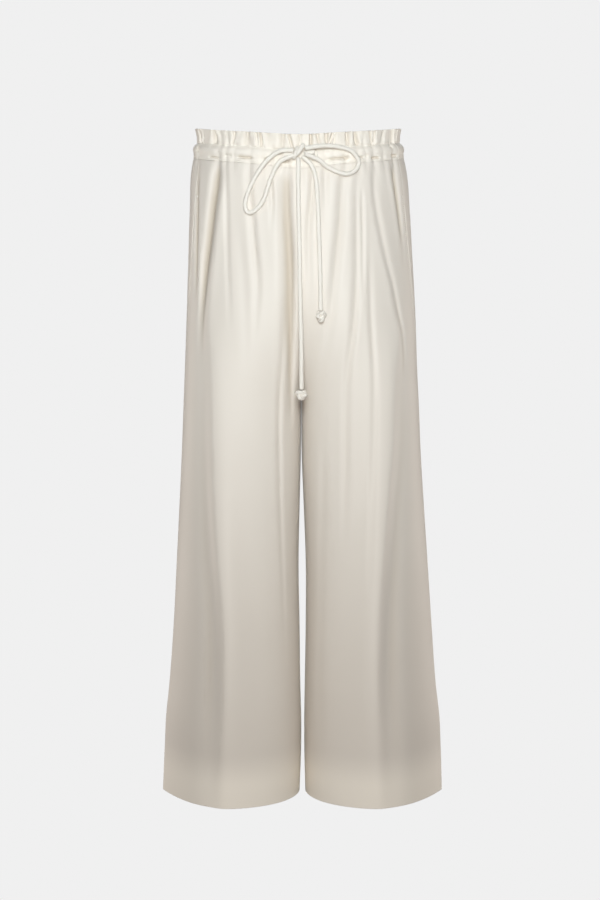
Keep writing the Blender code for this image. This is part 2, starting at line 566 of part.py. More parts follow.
def main():
    clear_scene()
    cloth = material("ivory_crepe", (0.78, 0.74, 0.69), 0.55)
    cord = material("ivory_cord", (0.76, 0.72, 0.66), 0.60)

    for side, where in ((1, "left"), (-1, "right")):
        panel(f"front_{where}", side, 1, FRONT_COLUMNS, cloth)
        panel(f"back_{where}", side, -1, BACK_COLUMNS, cloth)
        pocket_facing(f"pocket_facing_{where}", side, cloth)
    casing("waist_casing_front", 1, cloth)
    casing("waist_casing_back", -1, cloth)

    knot("bow_knot", BOW_KNOT, BOW_KNOT_SIZE, cord)
    tube("cord_entry_left", ENTRY_LEFT_ROUTE, cord)
    tube("cord_entry_right", ENTRY_RIGHT_ROUTE, cord)
    tube("loop_left", LOOP_LEFT_ROUTE, cord)
    tube("loop_right", LOOP_RIGHT_ROUTE, cord)
    tube("tail_centre", TAIL_CENTRE_ROUTE, cord)
    tube("tail_left", TAIL_LEFT_ROUTE, cord)
    end_knot("end_knot_centre", TAIL_CENTRE_ROUTE, cord)
    end_knot("end_knot_left", TAIL_LEFT_ROUTE, cord)


main()
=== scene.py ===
# %% [markdown]
# # Ivory wide-leg drawstring trousers
# These are full-length trousers in smooth ivory crepe with a frilled drawstring waist. Nobody is in
# them, yet they keep the round, hollow shape of a worn pair. The plain solids of each piece come
# from the frame; this lesson makes the cloth, the cord, the sewing and the light that are seen.

# %% Load the frame
import math
from collections import namedtuple

import bpy
import numpy as np
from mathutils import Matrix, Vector


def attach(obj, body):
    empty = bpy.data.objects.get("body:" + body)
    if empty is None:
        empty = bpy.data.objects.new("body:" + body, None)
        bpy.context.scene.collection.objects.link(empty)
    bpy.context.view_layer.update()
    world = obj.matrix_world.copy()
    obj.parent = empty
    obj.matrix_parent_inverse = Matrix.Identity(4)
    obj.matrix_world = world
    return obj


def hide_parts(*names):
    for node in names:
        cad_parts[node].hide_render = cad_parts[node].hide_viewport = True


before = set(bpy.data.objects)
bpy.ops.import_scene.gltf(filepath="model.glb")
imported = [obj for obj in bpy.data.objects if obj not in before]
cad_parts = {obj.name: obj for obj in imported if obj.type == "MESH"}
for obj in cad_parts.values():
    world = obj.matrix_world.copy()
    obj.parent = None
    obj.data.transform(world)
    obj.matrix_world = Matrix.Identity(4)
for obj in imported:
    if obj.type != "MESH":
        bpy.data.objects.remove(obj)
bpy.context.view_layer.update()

# %% [markdown]
# ## The camera
# The photograph was taken from 2.65 m in front of the trousers, a little above their middle and
# looking down by about five degrees: the level hems curve down towards us, while the waist line,
# which is higher than the lens, doesn't. A 70 mm lens frames them. Tilting the camera, and not
# shifting the picture, keeps the same framing from any other side.

# %% Camera
AIM = Vector((0.003, 0.0, -0.4517))
CAMERA_DISTANCE = 2.650
LOOK_DOWN = math.radians(5.2)
LENS_MM = 70.06

scene = bpy.context.scene
lens = bpy.data.cameras.new("camera")
lens.sensor_width = 36.0
lens.lens = LENS_MM
camera = bpy.data.objects.new("camera", lens)
scene.collection.objects.link(camera)
camera.location = AIM + CAMERA_DISTANCE * Vector((0, -math.cos(LOOK_DOWN), math.sin(LOOK_DOWN)))
camera.rotation_euler = (math.pi / 2 - LOOK_DOWN, 0, 0)
scene.camera = camera
print("camera at", [round(v, 3) for v in camera.location])

# %% [markdown]
# ## Writing a finish as arithmetic
# A material is a small graph of nodes. Wiring each node by hand hides the idea, so one class wraps a
# socket and lets Python's own operators add the Math nodes, and one method adds any other node.

# %% A socket that can be added, subtracted and multiplied
class Value:
    """A shader socket with arithmetic: an expression on it adds Math nodes to its material."""

    def __init__(self, finish, socket):
        self.finish, self.socket = finish, socket

    def _math(self, operation, first, second):
        return self.finish.node("ShaderNodeMath", {"operation": operation}, {0: first, 1: second})

    def __add__(self, other):
        return self._math("ADD", self, other)

    def __radd__(self, other):
        return self._math("ADD", other, self)

    def __sub__(self, other):
        return self._math("SUBTRACT", self, other)

    def __rsub__(self, other):
        return self._math("SUBTRACT", other, self)

    def __mul__(self, other):
        return self._math("MULTIPLY", self, other)

    def __rmul__(self, other):
        return self._math("MULTIPLY", other, self)


class Finish:
    """A material whose shader sockets are set from plain values or from expressions."""

    def __init__(self, name):
        self.material = bpy.data.materials.new(name)
        self.material.use_nodes = True
        self.tree = self.material.node_tree
        self.shader = self.tree.nodes["Principled BSDF"]

    def node(self, kind, settings=None, sockets=None, output=0):
        """Add a node of a kind; its settings come first, then the values or links of its sockets."""
        made = self.tree.nodes.new(kind)
        for key, value in (settings or {}).items():
            setattr(made, key, value)
        for key, value in (sockets or {}).items():
            self.join(made.inputs[key], value)
        return Value(self, made.outputs[output])

    def join(self, socket, value):
        if isinstance(value, Value):
            self.tree.links.new(value.socket, socket)
        else:
            socket.default_value = value

    def set(self, **sockets):
        """Set the shader's own sockets, with an underscore for each space in a socket's name."""
        for key, value in sockets.items():
            self.join(self.shader.inputs[key.replace("_", " ")], value)

# %% [markdown]
# ## The crepe
# The cloth is a heavy, smooth crepe: matt at first sight, with a soft, wide gleam on the folds and a
# fine pebbled grain that only shows close by. Its dye is a warm ivory. The grain is a noise on the
# cloth's own map, measured in metres along and across the threads, so that it bends with the folds.
# Low noise also shifts the dye and the gloss by a hair, because no length of cloth is perfectly even.
# A picture of crepe could be laid on instead, but noise needs no file and never repeats.

# %% Crepe and cord finishes
IVORY = (0.775, 0.722, 0.660, 1)
IVORY_DEEP = (0.755, 0.700, 0.636, 1)
# Lighter where two layers lie on each other, and at the inseam a painted glow between the legs.
IVORY_DOUBLED_AND_GLOW = (0.950, 0.893, 0.806, 1)
# Painted shade: deep folds and crevices are mixed towards this darker, warmer colour.
IVORY_PAINTED_SHADE = (0.590, 0.520, 0.435, 1)
# Painted shade of the buttonholes' holes, laid on as a dark disc.
SLIT_SHADE = (0.300, 0.240, 0.190, 1)
CORD_IVORY = (0.835, 0.795, 0.735, 1)
CORD_DEEP = (0.800, 0.750, 0.685, 1)
BLOTCH_SCALE = 9.0
DYE_CONTRAST, DYE_OFFSET = 1.4, 0.2
GLOSS_DRIFT = 0.06
THREAD_STRETCH = (2.6, 0.5, 1.0)
PEBBLE_SHARE = 0.65


def crepe(name, light, deep, grain_scale, grain_height, roughness):
    """Ivory crepe: colour = light mixed with deep by broad noise; bump = fine noise + thread noise.

    One mark lightens it where two layers lie on each other and, at the inseam, as a painted glow; hollow
    paints shade into deep folds and crevices, darker and warmer."""
    finish = Finish(name)
    place = finish.node("ShaderNodeTexCoord", output="UV")
    broad = finish.node("ShaderNodeTexNoise", sockets={"Vector": place, "Scale": BLOTCH_SCALE, "Detail": 3.0})
    pebbles = finish.node("ShaderNodeTexNoise",
                          sockets={"Vector": place, "Scale": grain_scale, "Detail": 2.0})
    stretched = finish.node("ShaderNodeMapping", sockets={"Vector": place, "Scale": THREAD_STRETCH})
    threads = finish.node("ShaderNodeTexNoise",
                          sockets={"Vector": stretched, "Scale": grain_scale * 0.5, "Detail": 1.0})
    dye = finish.node("ShaderNodeMix", {"data_type": "RGBA"},
                      {"Factor": broad * DYE_CONTRAST - DYE_OFFSET, "A": light, "B": deep}, output=2)
    # Painted light in the dye: a lighter colour for doubled cloth and the inseam's glow, and a darker one for
    # shade in folds.
    for mark, tint in (("doubled_and_glow", IVORY_DOUBLED_AND_GLOW), ("hollow", IVORY_PAINTED_SHADE)):
        amount = finish.node("ShaderNodeAttribute", {"attribute_name": mark}, output="Fac")
        dye = finish.node("ShaderNodeMix", {"data_type": "RGBA"},
                          {"Factor": amount, "A": dye, "B": tint}, output=2)
    grain = pebbles * PEBBLE_SHARE + threads * (1 - PEBBLE_SHARE)
    bump = finish.node("ShaderNodeBump", sockets={"Strength": 0.35, "Distance": grain_height,
                                                  "Height": grain})
    finish.set(Base_Color=dye, Roughness=roughness + broad * GLOSS_DRIFT, Normal=bump, Sheen_Weight=0.12,
               Sheen_Roughness=0.45, Specular_IOR_Level=0.25)
    return finish.material


cloth = crepe("ivory_crepe", IVORY, IVORY_DEEP, 1500.0, 0.00012, 0.46)
cord_cloth = crepe("ivory_cord", CORD_IVORY, CORD_DEEP, 1900.0, 0.00010, 0.66)
thread = crepe("ivory_thread", CORD_IVORY, CORD_DEEP, 2500.0, 0.00005, 0.60)
# The slit's finish is painted shade.
painted_slit_shadow = crepe("ivory_painted_slit_shadow", SLIT_SHADE, SLIT_SHADE, 1500.0, 0.00012, 0.80)
print("finishes:", cloth.name, cord_cloth.name, thread.name, painted_slit_shadow.name)

# %% [markdown]
# ## The cut
# Each height of the garment is a pair of rings, one for each leg. A ring is an ellipse with its own
# front and back depth. Above the crotch the two rings run into each other and are cut off at the
# middle, so they make the hips, and at the waist they are one ellipse. Pulling a box into shape by
# hand could end up the same, but a table of sections can be measured against the garment and
# corrected. These are the same sizes as the solids', in metres, so the cloth lies where they do.

# %% Sizes of the cut
SEAM_GAP = 0.0003
HEADER_TOP = 0.028
CASING_FOOT = -0.0160
CROTCH = -0.380
HEM = -0.976

Section = namedtuple("Section", "level middle half_width front_depth back_depth half_gap "
                                "side_point inner_point seam_turn")
SECTIONS = [
    Section(0.030, 0.0004, 0.1512, 0.1110, 0.1090, 0.00015, 0.80, 1.00, 22),
    Section(0.008, 0.0008, 0.1502, 0.1075, 0.1050, 0.00015, 0.80, 1.00, 22),
    Section(-0.006, 0.0010, 0.1540, 0.1085, 0.1060, 0.00015, 0.78, 1.00, 22),
    Section(-0.032, 0.0014, 0.1596, 0.1130, 0.1140, 0.00015, 0.75, 1.00, 22),
    Section(-0.092, 0.0026, 0.1641, 0.1160, 0.1210, 0.00015, 0.75, 1.00, 20),
    Section(-0.151, 0.0034, 0.1670, 0.1170, 0.1260, 0.00015, 0.79, 0.94, 18),
    Section(-0.250, 0.0046, 0.1716, 0.1160, 0.1280, 0.00015, 0.87, 0.80, 15),
    Section(-0.331, 0.0045, 0.1748, 0.1130, 0.1220, 0.00015, 0.95, 0.70, 12),
    Section(-0.380, 0.0048, 0.1772, 0.1110, 0.1150, 0.00015, 1.03, 0.66, 11),
    Section(-0.455, 0.0049, 0.1806, 0.1080, 0.1080, 0.00060, 1.18, 0.68, 9),
    Section(-0.533, 0.0055, 0.1852, 0.1060, 0.1040, 0.00300, 1.36, 0.74, 7),
    Section(-0.625, 0.0063, 0.1910, 0.1040, 0.1010, 0.00540, 1.56, 0.82, 5),
    Section(-0.718, 0.0070, 0.1968, 0.1030, 0.1000, 0.00460, 1.74, 0.90, 4),
    Section(-0.811, 0.0069, 0.2040, 0.1025, 0.1000, 0.00330, 1.84, 0.96, 2),
    Section(-0.866, 0.0072, 0.2100, 0.1025, 0.1000, 0.00220, 1.88, 1.00, 1),
    Section(-0.904, 0.0072, 0.2117, 0.1025, 0.1000, 0.00230, 1.90, 1.00, 1),
    Section(-0.976, 0.0067, 0.2145, 0.1030, 0.1000, 0.00440, 1.92, 1.00, 0),
]


def smooth_rows(levels, values, at):
    """Read a table's column at any level: a cubic between rows, with the rows' mean slopes."""
    levels, values, at = np.asarray(levels), np.asarray(values), np.asarray(at, float)
    order = np.argsort(levels)
    x, y = levels[order], values[order]
    slope = np.gradient(y, x)
    at = np.clip(at, x[0], x[-1])
    i = np.clip(np.searchsorted(x, at) - 1, 0, len(x) - 2)
    span = x[i + 1] - x[i]
    t = (at - x[i]) / span
    return ((2 * t**3 - 3 * t**2 + 1) * y[i] + (t**3 - 2 * t**2 + t) * span * slope[i]
            + (3 * t**2 - 2 * t**3) * y[i + 1] + (t**3 - t**2) * span * slope[i + 1])


def column_at(rows, column, level):
    """One column of a table whose rows each have a level, read at any level."""
    return smooth_rows([row.level for row in rows], [getattr(row, column) for row in rows], level)


def section(column, level):
    """One column of the sections at any level."""
    return column_at(SECTIONS, column, level)


def smooth_step(start, end, value):
    """0 at start, 1 at end, with no corner: t * t * (3 - 2 * t)."""
    t = np.clip((value - start) / (end - start), 0, 1)
    return t * t * (3 - 2 * t)


print("waist", round(2 * float(section("half_width", 0.0)), 3), "m wide, hems",
      round(2 * float(section("half_width", HEM)), 3), "m wide over both legs")

# %% [markdown]
# ## Gathers and folds
# The drawstring lets the cloth in, so valleys start at the waist and fade out downwards, each with
# its own depth, width and reach. Below them a few long folds hang to the hem. A sculptor could push
# these in by hand, but a table with one row for each valley is easier to judge against the garment:
# every row is one soft trough in the cloth with a low bank on either side.

# %% Gathers and folds
Gather = namedtuple("Gather", "x depth width reach")
FRONT_GATHERS = [
    Gather(-0.144, 0.0040, 0.0040, 0.050),
    Gather(-0.113, 0.0045, 0.0050, 0.060),
    Gather(-0.102, 0.0030, 0.0035, 0.060),
    Gather(-0.090, 0.0020, 0.0035, 0.025),
    Gather(-0.0685, 0.0035, 0.0040, 0.050),
    Gather(-0.051, 0.0020, 0.0035, 0.030),
    Gather(-0.0385, 0.0030, 0.0035, 0.040),
    Gather(-0.027, 0.0020, 0.0030, 0.030),
    Gather(-0.0155, 0.0045, 0.0040, 0.060),
    Gather(0.003, 0.0030, 0.0035, 0.030),
    Gather(0.0185, 0.0040, 0.0035, 0.050),
    Gather(0.0375, 0.0040, 0.0040, 0.060),
    Gather(0.050, 0.0020, 0.0035, 0.030),
    Gather(0.066, 0.0050, 0.0040, 0.060),
    Gather(0.083, 0.0030, 0.0035, 0.050),
    Gather(0.094, 0.0020, 0.0030, 0.025),
    Gather(0.106, 0.0045, 0.0045, 0.060),
    Gather(0.119, 0.0020, 0.0035, 0.025),
    Gather(0.1345, 0.0060, 0.0050, 0.070),
]
BACK_GATHERS = [
    Gather(-0.148, 0.0040, 0.0050, 0.070),
    Gather(-0.134, 0.0060, 0.0055, 0.140),
    Gather(-0.115, 0.0040, 0.0045, 0.080),
    Gather(-0.094, 0.0070, 0.0055, 0.150),
    Gather(-0.076, 0.0045, 0.0045, 0.070),
    Gather(-0.058, 0.0065, 0.0050, 0.120),
    Gather(-0.036, 0.0075, 0.0055, 0.160),
    Gather(-0.018, 0.0040, 0.0040, 0.060),
    Gather(0.000, 0.0065, 0.0050, 0.110),
    Gather(0.022, 0.0070, 0.0055, 0.140),
    Gather(0.040, 0.0040, 0.0040, 0.070),
    Gather(0.057, 0.0065, 0.0050, 0.130),
    Gather(0.078, 0.0050, 0.0045, 0.090),
    Gather(0.097, 0.0070, 0.0055, 0.150),
    Gather(0.118, 0.0045, 0.0045, 0.080),
    Gather(0.136, 0.0060, 0.0055, 0.140),
]

SMALL_BANKS, TURN_BANKS = (0.30, 0.20), (0.10, 0.40)
TURN_RISE = (0.0000, -0.0030, -0.0055, -0.0072, -0.0084, -0.0094, -0.0098, -0.0094, -0.0064, -0.0024)
Crease = namedtuple("Crease", "levels x depth inner outer banks", defaults=(SMALL_BANKS,))
FRONT_CREASES = [
    Crease((-0.006, -0.052, -0.109, -0.167, -0.210, -0.251),
           (-0.1443, -0.1460, -0.1477, -0.1488, -0.1497, -0.1514),
           (0.0030, 0.0060, 0.0080, 0.0080, 0.0050, 0.0000), (0.005, 0.005), (0.008, 0.008)),
    Crease((-0.003, -0.024, -0.053, -0.082, -0.120, -0.179, -0.224, -0.268, -0.326),
           (-0.1129, -0.1144, -0.1181, -0.1225, -0.1270, -0.1344, -0.1383, -0.1407, -0.1417),
           (0.0030, 0.0060, 0.0080, 0.0090, 0.0090, 0.0090, 0.0070, 0.0040, 0.0000),
           (0.007, 0.009), (0.010, 0.010)),
    Crease((-0.013, -0.073, -0.147, -0.223, -0.268),
           (-0.1029, -0.1031, -0.1020, -0.0994, -0.0981),
           (0.0015, 0.0018, 0.0015, 0.0008, 0.0000), (0.004, 0.004), (0.004, 0.004)),
    Crease((-0.093, -0.138, -0.192, -0.267, -0.340),
           (-0.0831, -0.0818, -0.0776, -0.0750, -0.0752),
           (0.0000, 0.0010, 0.0012, 0.0008, 0.0000), (0.007, 0.007), (0.007, 0.007)),
    Crease((-0.001, -0.027, -0.091, -0.129, -0.160, -0.199, -0.252, -0.311),
           (-0.0692, -0.0700, -0.0659, -0.0631, -0.0603, -0.0582, -0.0605, -0.0635),
           (0.0020, 0.0020, 0.0025, 0.0030, 0.0030, 0.0020, 0.0010, 0.0000), (0.004, 0.005), (0.005, 0.007)),
    Crease((-0.026, -0.044, -0.073, -0.096, -0.119),
           (-0.0400, -0.0386, -0.0372, -0.0379, -0.0387),
           (0.0000, 0.0030, 0.0025, 0.0008, 0.0000), (0.003, 0.003), (0.003, 0.003)),
    Crease((-0.006, -0.048, -0.101, -0.148, -0.220, -0.297, -0.369, -0.420),
           (-0.0163, -0.0156, -0.0135, -0.0107, -0.0100, -0.0100, -0.0100, -0.0101),
           (0.0030, 0.0060, 0.0080, 0.0090, 0.0085, 0.0075, 0.0040, 0.0000), (0.006, 0.007), (0.009, 0.012)),
    Crease((-0.205, -0.252, -0.311, -0.369, -0.427, -0.515, -0.603, -0.691, -0.781),
           (-0.0179, -0.0201, -0.0230, -0.0267, -0.0275, -0.0261, -0.0233, -0.0205, -0.0191),
           (0.0000, 0.0015, 0.0022, 0.0030, 0.0028, 0.0022, 0.0015, 0.0008, 0.0000),
           (0.005, 0.005), (0.005, 0.006)),
    Crease((-0.238, -0.297, -0.369, -0.442, -0.515, -0.603, -0.691, -0.781, -0.870, -0.973),
           (-0.1268, -0.1242, -0.1231, -0.1219, -0.1194, -0.1139, -0.1062, -0.1043, -0.1062, -0.1095),
           TURN_RISE, (0.026, 0.032), (0.011, 0.016), TURN_BANKS),
    Crease((0.001, -0.034, -0.056, -0.101, -0.140, -0.180, -0.236),
           (0.0187, 0.0209, 0.0195, 0.0152, 0.0145, 0.0160, 0.0160),
           (0.0015, 0.0030, 0.0035, 0.0030, 0.0025, 0.0015, 0.0000), (0.004, 0.004), (0.004, 0.004)),
    Crease((-0.001, -0.030, -0.051, -0.103),
           (0.0359, 0.0381, 0.0388, 0.0389),
           (0.0015, 0.0020, 0.0015, 0.0000), (0.004, 0.004), (0.004, 0.004)),
    Crease((0.002, -0.026, -0.054, -0.098, -0.159, -0.222, -0.252, -0.297, -0.347),
           (0.0659, 0.0646, 0.0625, 0.0604, 0.0548, 0.0491, 0.0463, 0.0406, 0.0320),
           (0.0020, 0.0025, 0.0030, 0.0035, 0.0035, 0.0025, 0.0018, 0.0008, 0.0000),
           (0.005, 0.006), (0.006, 0.008)),
    Crease((-0.021, -0.071, -0.131, -0.177, -0.207, -0.268, -0.311, -0.340, -0.398, -0.456, -0.515, -0.603),
           (0.0832, 0.0847, 0.0849, 0.0850, 0.0837, 0.0795, 0.0739, 0.0711, 0.0697, 0.0699, 0.0686, 0.0658),
           (0.0008, 0.0020, 0.0025, 0.0025, 0.0030, 0.0030, 0.0025, 0.0023, 0.0020, 0.0020, 0.0012, 0.0000),
           (0.005, 0.006), (0.005, 0.006)),
    Crease((-0.050, -0.072, -0.132, -0.177, -0.223),
           (0.0918, 0.0926, 0.0935, 0.0937, 0.0938),
           (0.0000, 0.0018, 0.0020, 0.0015, 0.0000), (0.003, 0.003), (0.003, 0.003)),
    Crease((-0.132, -0.208, -0.268, -0.340, -0.398, -0.515, -0.603, -0.662),
           (0.1036, 0.1039, 0.1062, 0.1102, 0.1103, 0.1079, 0.1053, 0.1040),
           (0.0000, 0.0015, 0.0020, 0.0020, 0.0018, 0.0012, 0.0008, 0.0000), (0.004, 0.005), (0.005, 0.006)),
    Crease((-0.002, -0.031, -0.066, -0.111, -0.157, -0.202, -0.224, -0.246, -0.275, -0.304, -0.347),
           (0.1045, 0.1075, 0.1105, 0.1179, 0.1274, 0.1384, 0.1421, 0.1466, 0.1525, 0.1548, 0.1551),
           (0.0016, 0.0018, 0.0020, 0.0020, 0.0020, 0.0024, 0.0028, 0.0036, 0.0040, 0.0030, 0.0000),
           (0.004, 0.006), (0.005, 0.007)),
    Crease((-0.004, -0.028, -0.050, -0.079, -0.102, -0.125, -0.146, -0.175),
           (0.1339, 0.1368, 0.1405, 0.1450, 0.1479, 0.1509, 0.1532, 0.1548),
           (0.0040, 0.0070, 0.0075, 0.0070, 0.0065, 0.0050, 0.0030, 0.0000), (0.005, 0.005), (0.008, 0.008)),
    Crease((-0.412, -0.471, -0.574, -0.691, -0.811, -0.900),
           (0.0349, 0.0365, 0.0351, 0.0338, 0.0310, 0.0325),
           (0.0000, 0.0012, 0.0010, 0.0008, 0.0008, 0.0000), (0.008, 0.008), (0.008, 0.008)),
    Crease((-0.253, -0.304, -0.369, -0.442, -0.515, -0.603, -0.691, -0.781, -0.870, -0.973),
           (0.1473, 0.1418, 0.1378, 0.1352, 0.1283, 0.1213, 0.1151, 0.1133, 0.1151, 0.1184),
           TURN_RISE, (0.026, 0.032), (0.011, 0.016), TURN_BANKS),
]
LONG = (-0.020, -0.200, -0.350, -0.560, -0.780, HEM)
BACK_CREASES = [
    Crease(LONG, (-0.118, -0.130, -0.140, -0.146, -0.150, -0.152),
           (0.0040, 0.0080, 0.0060, 0.0030, 0.0016, 0.0010), (0.007, 0.012), (0.011, 0.014)),
    Crease(LONG, (0.120, 0.134, 0.146, 0.156, 0.160, 0.162),
           (0.0040, 0.0070, 0.0065, 0.0034, 0.0018, 0.0010), (0.007, 0.012), (0.011, 0.014)),
    Crease(LONG, (-0.100, -0.108, -0.116, -0.110, -0.104, -0.106),
           (0.0000, -0.0010, -0.0050, -0.0070, -0.0065, -0.0020), (0.022, 0.032), (0.010, 0.018),
           TURN_BANKS),
    Crease(LONG, (0.104, 0.112, 0.122, 0.118, 0.112, 0.114),
           (0.0000, -0.0010, -0.0050, -0.0070, -0.0060, -0.0020), (0.022, 0.032), (0.010, 0.018),
           TURN_BANKS),
    Crease(LONG, (-0.070, -0.066, -0.056, -0.060, -0.068, -0.074),
           (0.0025, 0.0040, 0.0045, 0.0030, 0.0018, 0.0012), (0.006, 0.010), (0.008, 0.016)),
    Crease(LONG, (0.062, 0.058, 0.048, 0.058, 0.066, 0.070),
           (0.0025, 0.0045, 0.0050, 0.0030, 0.0018, 0.0012), (0.006, 0.010), (0.008, 0.016)),
    Crease(LONG, (-0.022, -0.024, -0.026, -0.030, -0.036, -0.040),
           (0.0020, 0.0030, 0.0028, 0.0018, 0.0010, 0.0008), (0.006, 0.009), (0.008, 0.012)),
    Crease(LONG, (0.030, 0.026, 0.022, 0.034, 0.040, 0.044),
           (0.0020, 0.0030, 0.0026, 0.0018, 0.0010, 0.0008), (0.006, 0.009), (0.008, 0.012)),
    Crease(LONG, (-0.098, -0.100, -0.102, -0.104, -0.106, -0.108),
           (0.0020, 0.0024, 0.0018, 0.0012, 0.0008, 0.0006), (0.006, 0.010), (0.006, 0.010)),
    Crease(LONG, (0.094, 0.098, 0.104, 0.106, 0.106, 0.106),
           (0.0020, 0.0026, 0.0020, 0.0012, 0.0008, 0.0006), (0.006, 0.010), (0.006, 0.010)),
]
print("gathers:", len(FRONT_GATHERS) + len(BACK_GATHERS), "long folds:",
      len(FRONT_CREASES) + len(BACK_CREASES))

# %% [markdown]
# ## The frill and the pinched channel
# Above its upper stitching the casing stands up as a frill. Its notches lean this way and that, and
# some are wide at the foot, where the cloth is pinched, and closed at the top. Below the channel
# the cord can't fill the cloth evenly either: here and there the seam sinks into a dark crevice.
# Simulated cloth would pinch where it likes, so each notch and pinch has a row of its own instead.

# %% Frill notches and pinches
Notch = namedtuple("Notch", "top foot depth top_width foot_width")
FRONT_NOTCHES = [
    Notch(-0.1450, -0.1450, 0.0040, 0.0016, 0.0022),
    Notch(-0.1384, -0.1395, 0.0016, 0.0020, 0.0020),
    Notch(-0.1214, -0.1222, 0.0070, 0.0022, 0.0062),
    Notch(-0.0914, -0.0957, 0.0035, 0.0024, 0.0020),
    Notch(-0.0728, -0.0749, 0.0048, 0.0022, 0.0056),
    Notch(-0.0599, -0.0585, 0.0030, 0.0014, 0.0024),
    Notch(-0.0542, -0.0535, 0.0058, 0.0015, 0.0019),
    Notch(-0.0428, -0.0442, 0.0020, 0.0024, 0.0030),
    Notch(-0.0213, -0.0235, 0.0046, 0.0036, 0.0030),
    Notch(-0.0142, -0.0084, 0.0046, 0.0018, 0.0018),
    Notch(0.0020, 0.0010, 0.0020, 0.0020, 0.0022),
    Notch(0.0180, 0.0180, 0.0056, 0.0014, 0.0018),
    Notch(0.0266, 0.0309, 0.0036, 0.0018, 0.0024),
    Notch(0.0402, 0.0416, 0.0056, 0.0022, 0.0021),
    Notch(0.0495, 0.0438, 0.0046, 0.0018, 0.0014),
    Notch(0.0531, 0.0502, 0.0024, 0.0014, 0.0018),
    Notch(0.0702, 0.0716, 0.0056, 0.0024, 0.0026),
    Notch(0.0802, 0.0859, 0.0050, 0.0022, 0.0026),
    Notch(0.0845, 0.0845, 0.0022, 0.0034, 0.0080),
    Notch(0.1024, 0.1074, 0.0044, 0.0018, 0.0018),
    Notch(0.1103, 0.1096, 0.0034, 0.0016, 0.0024),
    Notch(0.1230, 0.1215, 0.0018, 0.0030, 0.0030),
    Notch(0.1367, 0.1381, 0.0080, 0.0024, 0.0028),
    Notch(0.1438, 0.1431, 0.0040, 0.0014, 0.0020),
]
BACK_NOTCHES = [
    Notch(-0.1440, -0.1425, 0.0040, 0.0016, 0.0024),
    Notch(-0.1330, -0.1350, 0.0056, 0.0022, 0.0030),
    Notch(-0.1180, -0.1165, 0.0042, 0.0018, 0.0024),
    Notch(-0.1045, -0.1050, 0.0026, 0.0020, 0.0024),
    Notch(-0.0920, -0.0955, 0.0060, 0.0020, 0.0050),
    Notch(-0.0790, -0.0765, 0.0042, 0.0016, 0.0020),
    Notch(-0.0610, -0.0590, 0.0054, 0.0022, 0.0024),
    Notch(-0.0480, -0.0500, 0.0024, 0.0018, 0.0020),
    Notch(-0.0340, -0.0370, 0.0060, 0.0024, 0.0026),
    Notch(-0.0200, -0.0180, 0.0036, 0.0016, 0.0022),
    Notch(-0.0020, 0.0010, 0.0054, 0.0020, 0.0046),
    Notch(0.0130, 0.0110, 0.0030, 0.0016, 0.0020),
    Notch(0.0240, 0.0215, 0.0054, 0.0022, 0.0024),
    Notch(0.0390, 0.0415, 0.0044, 0.0018, 0.0020),
    Notch(0.0560, 0.0585, 0.0058, 0.0022, 0.0050),
    Notch(0.0700, 0.0690, 0.0026, 0.0018, 0.0022),
    Notch(0.0800, 0.0770, 0.0044, 0.0018, 0.0022),
    Notch(0.0960, 0.0985, 0.0060, 0.0022, 0.0026),
    Notch(0.1100, 0.1080, 0.0030, 0.0018, 0.0022),
    Notch(0.1210, 0.1180, 0.0044, 0.0018, 0.0022),
    Notch(0.1340, 0.1360, 0.0056, 0.0020, 0.0030),
    Notch(0.1435, 0.1450, 0.0036, 0.0016, 0.0022),
]
Pinch = namedtuple("Pinch", "x level depth half_length half_height")
FRONT_PINCHES = [
    Pinch(-0.1443, -0.0020, 0.0042, 0.0050, 0.0042),
    Pinch(-0.1200, -0.0112, 0.0030, 0.0085, 0.0017),
    Pinch(-0.1014, -0.0070, 0.0012, 0.0026, 0.0016),
    Pinch(-0.0964, -0.0074, 0.0012, 0.0022, 0.0016),
    Pinch(-0.0755, -0.0085, 0.0045, 0.0095, 0.0018),
    Pinch(-0.0449, -0.0082, 0.0036, 0.0034, 0.0017),
    Pinch(-0.0190, -0.0072, 0.0034, 0.0075, 0.0019),
    Pinch(0.0545, -0.0080, 0.0034, 0.0125, 0.0018),
    Pinch(0.0673, -0.0085, 0.0026, 0.0030, 0.0026),
    Pinch(0.0880, -0.0088, 0.0030, 0.0034, 0.0018),
    Pinch(0.0950, -0.0070, 0.0016, 0.0018, 0.0018),
    Pinch(0.1080, -0.0112, 0.0048, 0.0062, 0.0018),
    Pinch(0.1360, -0.0106, 0.0060, 0.0068, 0.0020),
    Pinch(0.1335, 0.0030, 0.0036, 0.0036, 0.0018),
    Pinch(-0.1214, 0.0040, 0.0014, 0.0075, 0.0020),
]
BACK_PINCHES = [
    Pinch(-0.1290, -0.0095, 0.0040, 0.0070, 0.0018),
    Pinch(-0.0930, -0.0088, 0.0044, 0.0090, 0.0018),
    Pinch(-0.0590, -0.0082, 0.0030, 0.0060, 0.0018),
    Pinch(-0.0360, -0.0082, 0.0022, 0.0030, 0.0018),
    Pinch(-0.0030, -0.0080, 0.0042, 0.0100, 0.0018),
    Pinch(0.0300, -0.0082, 0.0026, 0.0050, 0.0018),
    Pinch(0.0570, -0.0082, 0.0040, 0.0080, 0.0018),
    Pinch(0.0950, -0.0088, 0.0044, 0.0080, 0.0018),
    Pinch(0.1300, -0.0095, 0.0036, 0.0060, 0.0018),
]
print("frill notches:", len(FRONT_NOTCHES) + len(BACK_NOTCHES), "pinches:",
      len(FRONT_PINCHES) + len(BACK_PINCHES))

# %% [markdown]
# ## The plain ring
# Everything sewn is made from one function: give it a leg, a height and an angle round the leg's
# ring, and it returns a point of the cloth. The first step is the ring with no folds in it. Two
# circles could be joined by a Boolean, but a formula keeps even rows of points through the crotch.

